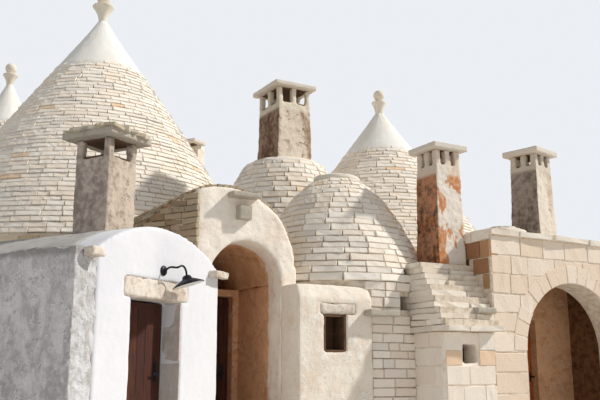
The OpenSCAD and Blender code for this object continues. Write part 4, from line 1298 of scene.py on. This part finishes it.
SMOOTH = {"lump": 0.014, "pit": 0.004}
slab = chimney_slab("kitchen_chimney", 0.68, 0.78, SLAB_OVER, 0, pale_slab, 71, voxel=0.018,
                    **SMOOTH)
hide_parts("chimney_slabs")
for shaft, side, turn, seed, lantern in (("oven_chimney", 0.46, 0, 72, 0.23),
                                         ("loggia_chimney", 0.48, 13, 73, 0.2),
                                         ("rear_chimney", 0.32, 33, 74, LANTERN)):
    chimney_slab(shaft, side, side, SLAB_OVER, turn, pale_slab, seed, lantern, **SMOOTH)
chimney_slab("wing_chimney", 0.52, 0.54, 0.13, WING_TURN, slab_stone, 75, lantern=WING_LANTERN,
             voxel=0.018, lump=0.03, pit=0.012)

# %% Broken slabs on the wing's chimney
low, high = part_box("wing_chimney")
middle, slab_top = (low + high) / 2, high.z + SLAB_T
rng = random.Random(65)
wing_turned = Matrix.Rotation(math.radians(WING_TURN), 3, "Z")
PILE_R, PILE_H = 0.36, 0.13
pile = []
for _ in range(70):
    x, y = rng.uniform(-PILE_R, PILE_R), rng.uniform(-PILE_R, PILE_R)
    rise = PILE_H * max(0.0, 1 - max(abs(x), abs(y)) / PILE_R) ** 1.4
    spot = Vector((middle.x, middle.y, slab_top + rise * rng.uniform(0.4, 1.0)))
    spot += wing_turned @ Vector((x, y, 0))
    lie = (rng.uniform(-0.12, 0.12), rng.uniform(-0.12, 0.12), rng.uniform(0, 6.28))
    pile.append((spot[:], lie,
                 (rng.uniform(0.14, 0.28), rng.uniform(0.1, 0.2), rng.uniform(0.03, 0.055)),
                 rng.random(), rng.randrange(KINDS)))
build_stones("wing_chimney_rubble", pile, slab_stone, chip=0.02, seed=65.0)

# %% The lining of the niche
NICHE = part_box("niche_buttress")[0] + Vector((0.385, 0.0, 1.35))
NICHE_W, NICHE_D, NICHE_H, SKIN = 0.35, 0.33, 0.5, 0.03
x, y, z = NICHE
x1, z1, deep = x + NICHE_W, z + NICHE_H, y + NICHE_D
# The lining is painted shade: it darkens the inside of the niche.
lining = bevelled_boxes("niche_lining", [
    ((x, deep - SKIN, z), (x1, deep, z1)),
    ((x, y + 0.02, z), (x + SKIN, deep - SKIN, z1)),
    ((x1 - SKIN, y + 0.02, z), (x1, deep - SKIN, z1)),
    ((x + SKIN, y + 0.02, z), (x1 - SKIN, deep - SKIN, z + SKIN)),
    ((x + SKIN, y + 0.02, z1 - SKIN), (x1 - SKIN, deep - SKIN, z1))],
    soot_plaster, Matrix.Identity(4), 0.001, 76)
finish_piece(lining, "lime_plaster")


# %% [markdown]
# ## The lamp by the wing's door
# An iron tube bends out of a round plate and carries a wide shade. The tube is a
# curve with a round section, which doesn't pinch at the bends as placed rings
# would. The plate, the shade, its white inside and the bulb come off the lathe,
# and one matrix tilts the three that hang at the tube's end.


# %% A rod along a curve
def bent_rod(name, points, radius, finish, sides=16):
    """A round rod swept along a smooth curve through the points, closed at its ends."""
    curve = bpy.data.curves.new(name, "CURVE")
    curve.dimensions = "3D"
    spline = curve.splines.new("BEZIER")
    spline.bezier_points.add(len(points) - 1)
    for knot, place in zip(spline.bezier_points, points):
        knot.co = place
        knot.handle_left_type = knot.handle_right_type = "AUTO"
    curve.bevel_depth, curve.bevel_resolution = radius, sides // 4
    curve.resolution_u = 12
    curve.use_fill_caps = True
    rod = bpy.data.objects.new(name, curve)
    bpy.context.scene.collection.objects.link(rod)
    bpy.context.view_layer.update()
    mesh = bpy.data.meshes.new_from_object(rod)
    bpy.data.objects.remove(rod)
    mesh.materials.clear()
    mesh.materials.append(finish)
    for polygon in mesh.polygons:
        polygon.use_smooth = True
    return placed(name, mesh)


# %% The gooseneck lamp
LAMP_X, LAMP_REACH, LAMP_OUT = 1.43, 0.185, 0.2
PLATE_Z, SHADE_Z = 2.235, 2.13
neck = [(LAMP_X, -0.02, PLATE_Z), (LAMP_X, -0.1, PLATE_Z + 0.035),
        (LAMP_X + 0.02, -LAMP_OUT + 0.02, PLATE_Z + 0.03),
        (LAMP_X + 0.09, -LAMP_OUT, PLATE_Z + 0.055),
        (LAMP_X + LAMP_REACH - 0.03, -LAMP_OUT, PLATE_Z + 0.02),
        (LAMP_X + LAMP_REACH, -LAMP_OUT, SHADE_Z + 0.045)]
rod = bent_rod("lamp_neck", [wing_frame @ Vector(p) for p in neck], 0.012, iron)
finish_piece(rod, "black_iron")
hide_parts("wall_lamp")
shade_at = wing_frame @ Vector((LAMP_X + LAMP_REACH, -LAMP_OUT, 0))
pivot = shade_at + Vector((0, 0, SHADE_Z + 0.03))
TIP_UP_DEG, TIP_OUT_DEG = 10, 13
lean = (Matrix.Translation(pivot) @ wing_frame.to_3x3().to_4x4()
        @ Matrix.Rotation(math.radians(-TIP_UP_DEG), 4, "Y")
        @ Matrix.Rotation(math.radians(-TIP_OUT_DEG), 4, "X")
        @ wing_frame.to_3x3().transposed().to_4x4() @ Matrix.Translation(-pivot))
LAMP_ROUNDS = {
    "lamp_shade": (iron, 48, ((0.0, 0.055), (0.028, 0.05), (0.046, 0.035), (0.055, 0.012),
                              (0.12, -0.018), (0.18, -0.055), (0.187, -0.055), (0.187, -0.048),
                              (0.122, -0.011), (0.058, 0.02), (0.052, 0.044), (0.032, 0.06),
                              (0.0, 0.066))),
    "shade_enamel": (enamel, 48, ((0.0, 0.053), (0.026, 0.048), (0.044, 0.033), (0.053, 0.01),
                                  (0.12, -0.02), (0.178, -0.054), (0.176, -0.056),
                                  (0.118, -0.022), (0.051, 0.008), (0.042, 0.031),
                                  (0.025, 0.045), (0.0, 0.05))),
    "lamp_bulb": (enamel, 24, ((0.0, -0.05), (0.016, -0.045), (0.028, -0.025), (0.028, -0.008),
                               (0.018, 0.015), (0.014, 0.046), (0.0, 0.046)))}
for name, (material, sides, outline) in LAMP_ROUNDS.items():
    lathe(name, [(r, SHADE_Z + z) for r, z in outline], shade_at, sides, "black_iron", material,
          moved=lean)
lathe("lamp_plate", ((0.0, 0.0), (0.058, 0.0), (0.06, 0.006), (0.054, 0.016), (0.03, 0.025),
                     (0.0, 0.026)), (0, 0), 32, "black_iron", iron,
      moved=wing_frame @ Matrix.Translation((LAMP_X, 0, PLATE_Z))
      @ Matrix.Rotation(math.radians(90), 4, "X"))


# %% [markdown]
# ## The porch's roof and flank
# The barrel roof of the porch, and the flank that rises behind the wing, are
# rough darker slabs. On the barrel one length runs along the ridge and the other
# round the arc, so the search for free stretches works there too.


# %% Courses on the porch's roof and flank
def barrel_face(middle_x, middle_z, radius, y0):
    """The left flank of a barrel roof: u runs back along Y, v is the arc."""
    def face(u, v):
        a = math.pi - v / radius
        out = Vector((math.cos(a), 0, math.sin(a)))
        return Vector((middle_x, y0 + u, middle_z)) + out * radius, out
    return face


def lay_barrel(face, arcs, u0, u1, rng, depth=0.16, proud=0.035, joint=0.012):
    stones = []
    for low, high in zip(arcs, arcs[1:]):
        for start, end in course_points(face, low, high, u0, u1, 0.05):
            for a, b in split_run(start, end, 0.14, 0.42, rng):
                point, out = face((a + b) / 2, (low + high) / 2)
                centre = point + out * (proud * rng.uniform(0.6, 1.3) - depth / 2)
                lean = math.asin(max(-1.0, min(1.0, out.z)))
                turn = math.pi / 2 + (math.pi if out.x < 0 else 0.0)
                stones.append((centre[:], (-lean + rng.gauss(0, 0.03), rng.gauss(0, 0.02), turn),
                               (b - a - joint, depth, high - low - joint), rng.random(),
                               rng.randrange(KINDS)))
    return stones


ROOF_X, ROOF_Z, ROOF_R = -0.13, 2.51, 1.04
WING_LEN, FLANK_BACK = 2.573, 4.6
porch_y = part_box("porch_front")[0].y
rng = random.Random(66)
roof_face = barrel_face(ROOF_X, ROOF_Z, ROOF_R, porch_y + 0.03)
arcs = course_levels(0.0, math.pi * ROOF_R, 0.085, rng)
stones = lay_barrel(roof_face, arcs, 0.0, FLANK_BACK, rng)
corner = wing_frame @ Vector((WING_LEN, FLANK_BACK, 0.0))
stones += lay_wall(corner, WING_TURN - 90, FLANK_BACK, course_levels(2.2, 3.56, 0.08, rng), 0.14,
                   0.42, rng, depth=0.12, joint=0.01, loose=0.03, gap=0.03, past=0.02)
build_stones("porch_roof_courses", stones, flank_stone, "roof_stone", chip=0.03, seed=66.0)
print("stones on the porch's roof and flank:", len(stones))

low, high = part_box("porch_left_wall")
blocks = lay_wall(*side_of(low, high, "left"), course_levels(0.0, high.z, 0.19, rng), 0.22,
                  0.5, rng, depth=0.16)
build_stones("porch_left_blocks", blocks, wall_stone, seed=69.0)

# %% [markdown]
# ## The wing's back, and the reveal of its door
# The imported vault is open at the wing's back. A thin wall, a slice of the vault,
# closes it. The door stands deep in its wall, and three stones line the side of
# the opening that the camera sees.

# %% The back wall and the reveal
VAULT_R, VAULT_MID, VAULT_Z, BACK_Y = 1.268, 1.286, 1.262, 3.66
BACK_TOP, BACK_T, ARC_STEPS = 2.33, 0.3, 32
arc_start = math.acos(math.sqrt(VAULT_R ** 2 - (BACK_TOP - VAULT_Z) ** 2) / VAULT_R)
bm = bmesh.new()
sides = []
for y in (BACK_Y - BACK_T, BACK_Y):
    angles = [arc_start + (math.pi - 2 * arc_start) * k / ARC_STEPS for k in range(ARC_STEPS + 1)]
    sides.append([bm.verts.new(wing_frame @ Vector((VAULT_MID + VAULT_R * math.cos(a), y,
                                                    VAULT_Z + VAULT_R * math.sin(a))))
                  for a in angles])
    bm.faces.new(sides[-1])
for k in range(ARC_STEPS + 1):
    after = (k + 1) % (ARC_STEPS + 1)
    bm.faces.new((sides[0][k], sides[0][after], sides[1][after], sides[1][k]))
bmesh.ops.recalc_face_normals(bm, faces=bm.faces)
finish_piece(from_bmesh("wing_back_gable", bm), "lime_plaster", whitewash)

rng = random.Random(67)
JAMB_X, JAMB_D = 1.796, 0.27
jamb = wing_frame @ Vector((JAMB_X, JAMB_D, 0.0))
jamb_stones = lay_wall(jamb, WING_TURN - 90, JAMB_D, (0.08, 0.62, 1.2, 1.89), 0.3, 0.4, rng,
                       depth=0.1, proud=0.004, gap=0.02)
build_stones("wing_reveal_stones", jamb_stones, reveal_plaster, chip=0.014, seed=67.0)

# %% [markdown]
# ## Floor, sky and sun
# The floor is only a stage. The sky is an even pale light, and the camera sees it
# brighter than it shines. The sun stands at the right, some 40 degrees up, and is
# six times as wide as the real one, so that its shadows have soft edges.

# %% The stage and the light
floor_mesh = bpy.data.meshes.new("ground_sheet")
HALF = 60.0
floor_mesh.from_pydata([(-HALF, -HALF, 0), (HALF, -HALF, 0), (HALF, HALF, 0), (-HALF, HALF, 0)], [],
                       [(0, 1, 2, 3)])
ground = placed("ground_sheet", floor_mesh)
sheet = Finish("pale_sheet", Roughness=0.95, Specular_IOR_Level=0.1)
sheet.colour(sheet.mix(sheet.noise(3.0, 2.0), "e2e0dc", "dad8d4"))
ground.data.materials.append(sheet.material)

world = bpy.data.worlds.new("even_sky")
bpy.context.scene.world = world
world.use_nodes = True
sky = world.node_tree
background = sky.nodes["Background"]
background.inputs["Color"].default_value = (0.93, 0.96, 1.0, 1.0)
SKY_LIGHT, SKY_SEEN = 0.42, 0.9
path = add(sky, "ShaderNodeLightPath", out="Is Camera Ray")
seen = add(sky, "ShaderNodeMath", {0: path, 1: SKY_SEEN - SKY_LIGHT, 2: SKY_LIGHT},
           operation="MULTIPLY_ADD")
sky.links.new(seen, background.inputs["Strength"])

sun_data = bpy.data.lights.new("broad_sun", "SUN")
sun_data.energy = 3.1
sun_data.angle = math.radians(3)
sun_data.color = (1.0, 0.97, 0.92)
sun = bpy.data.objects.new("broad_sun", sun_data)
SUN_FROM = Vector((0.675, -0.346, 0.65))
sun.rotation_euler = SUN_FROM.to_track_quat("Z", "Y").to_euler()
bpy.context.scene.collection.objects.link(sun)

# %% Sizes and the end
total = sum(triangles.values())
largest = max(triangles, key=triangles.get)
print("triangles made here:", total, "largest:", largest, triangles[largest])
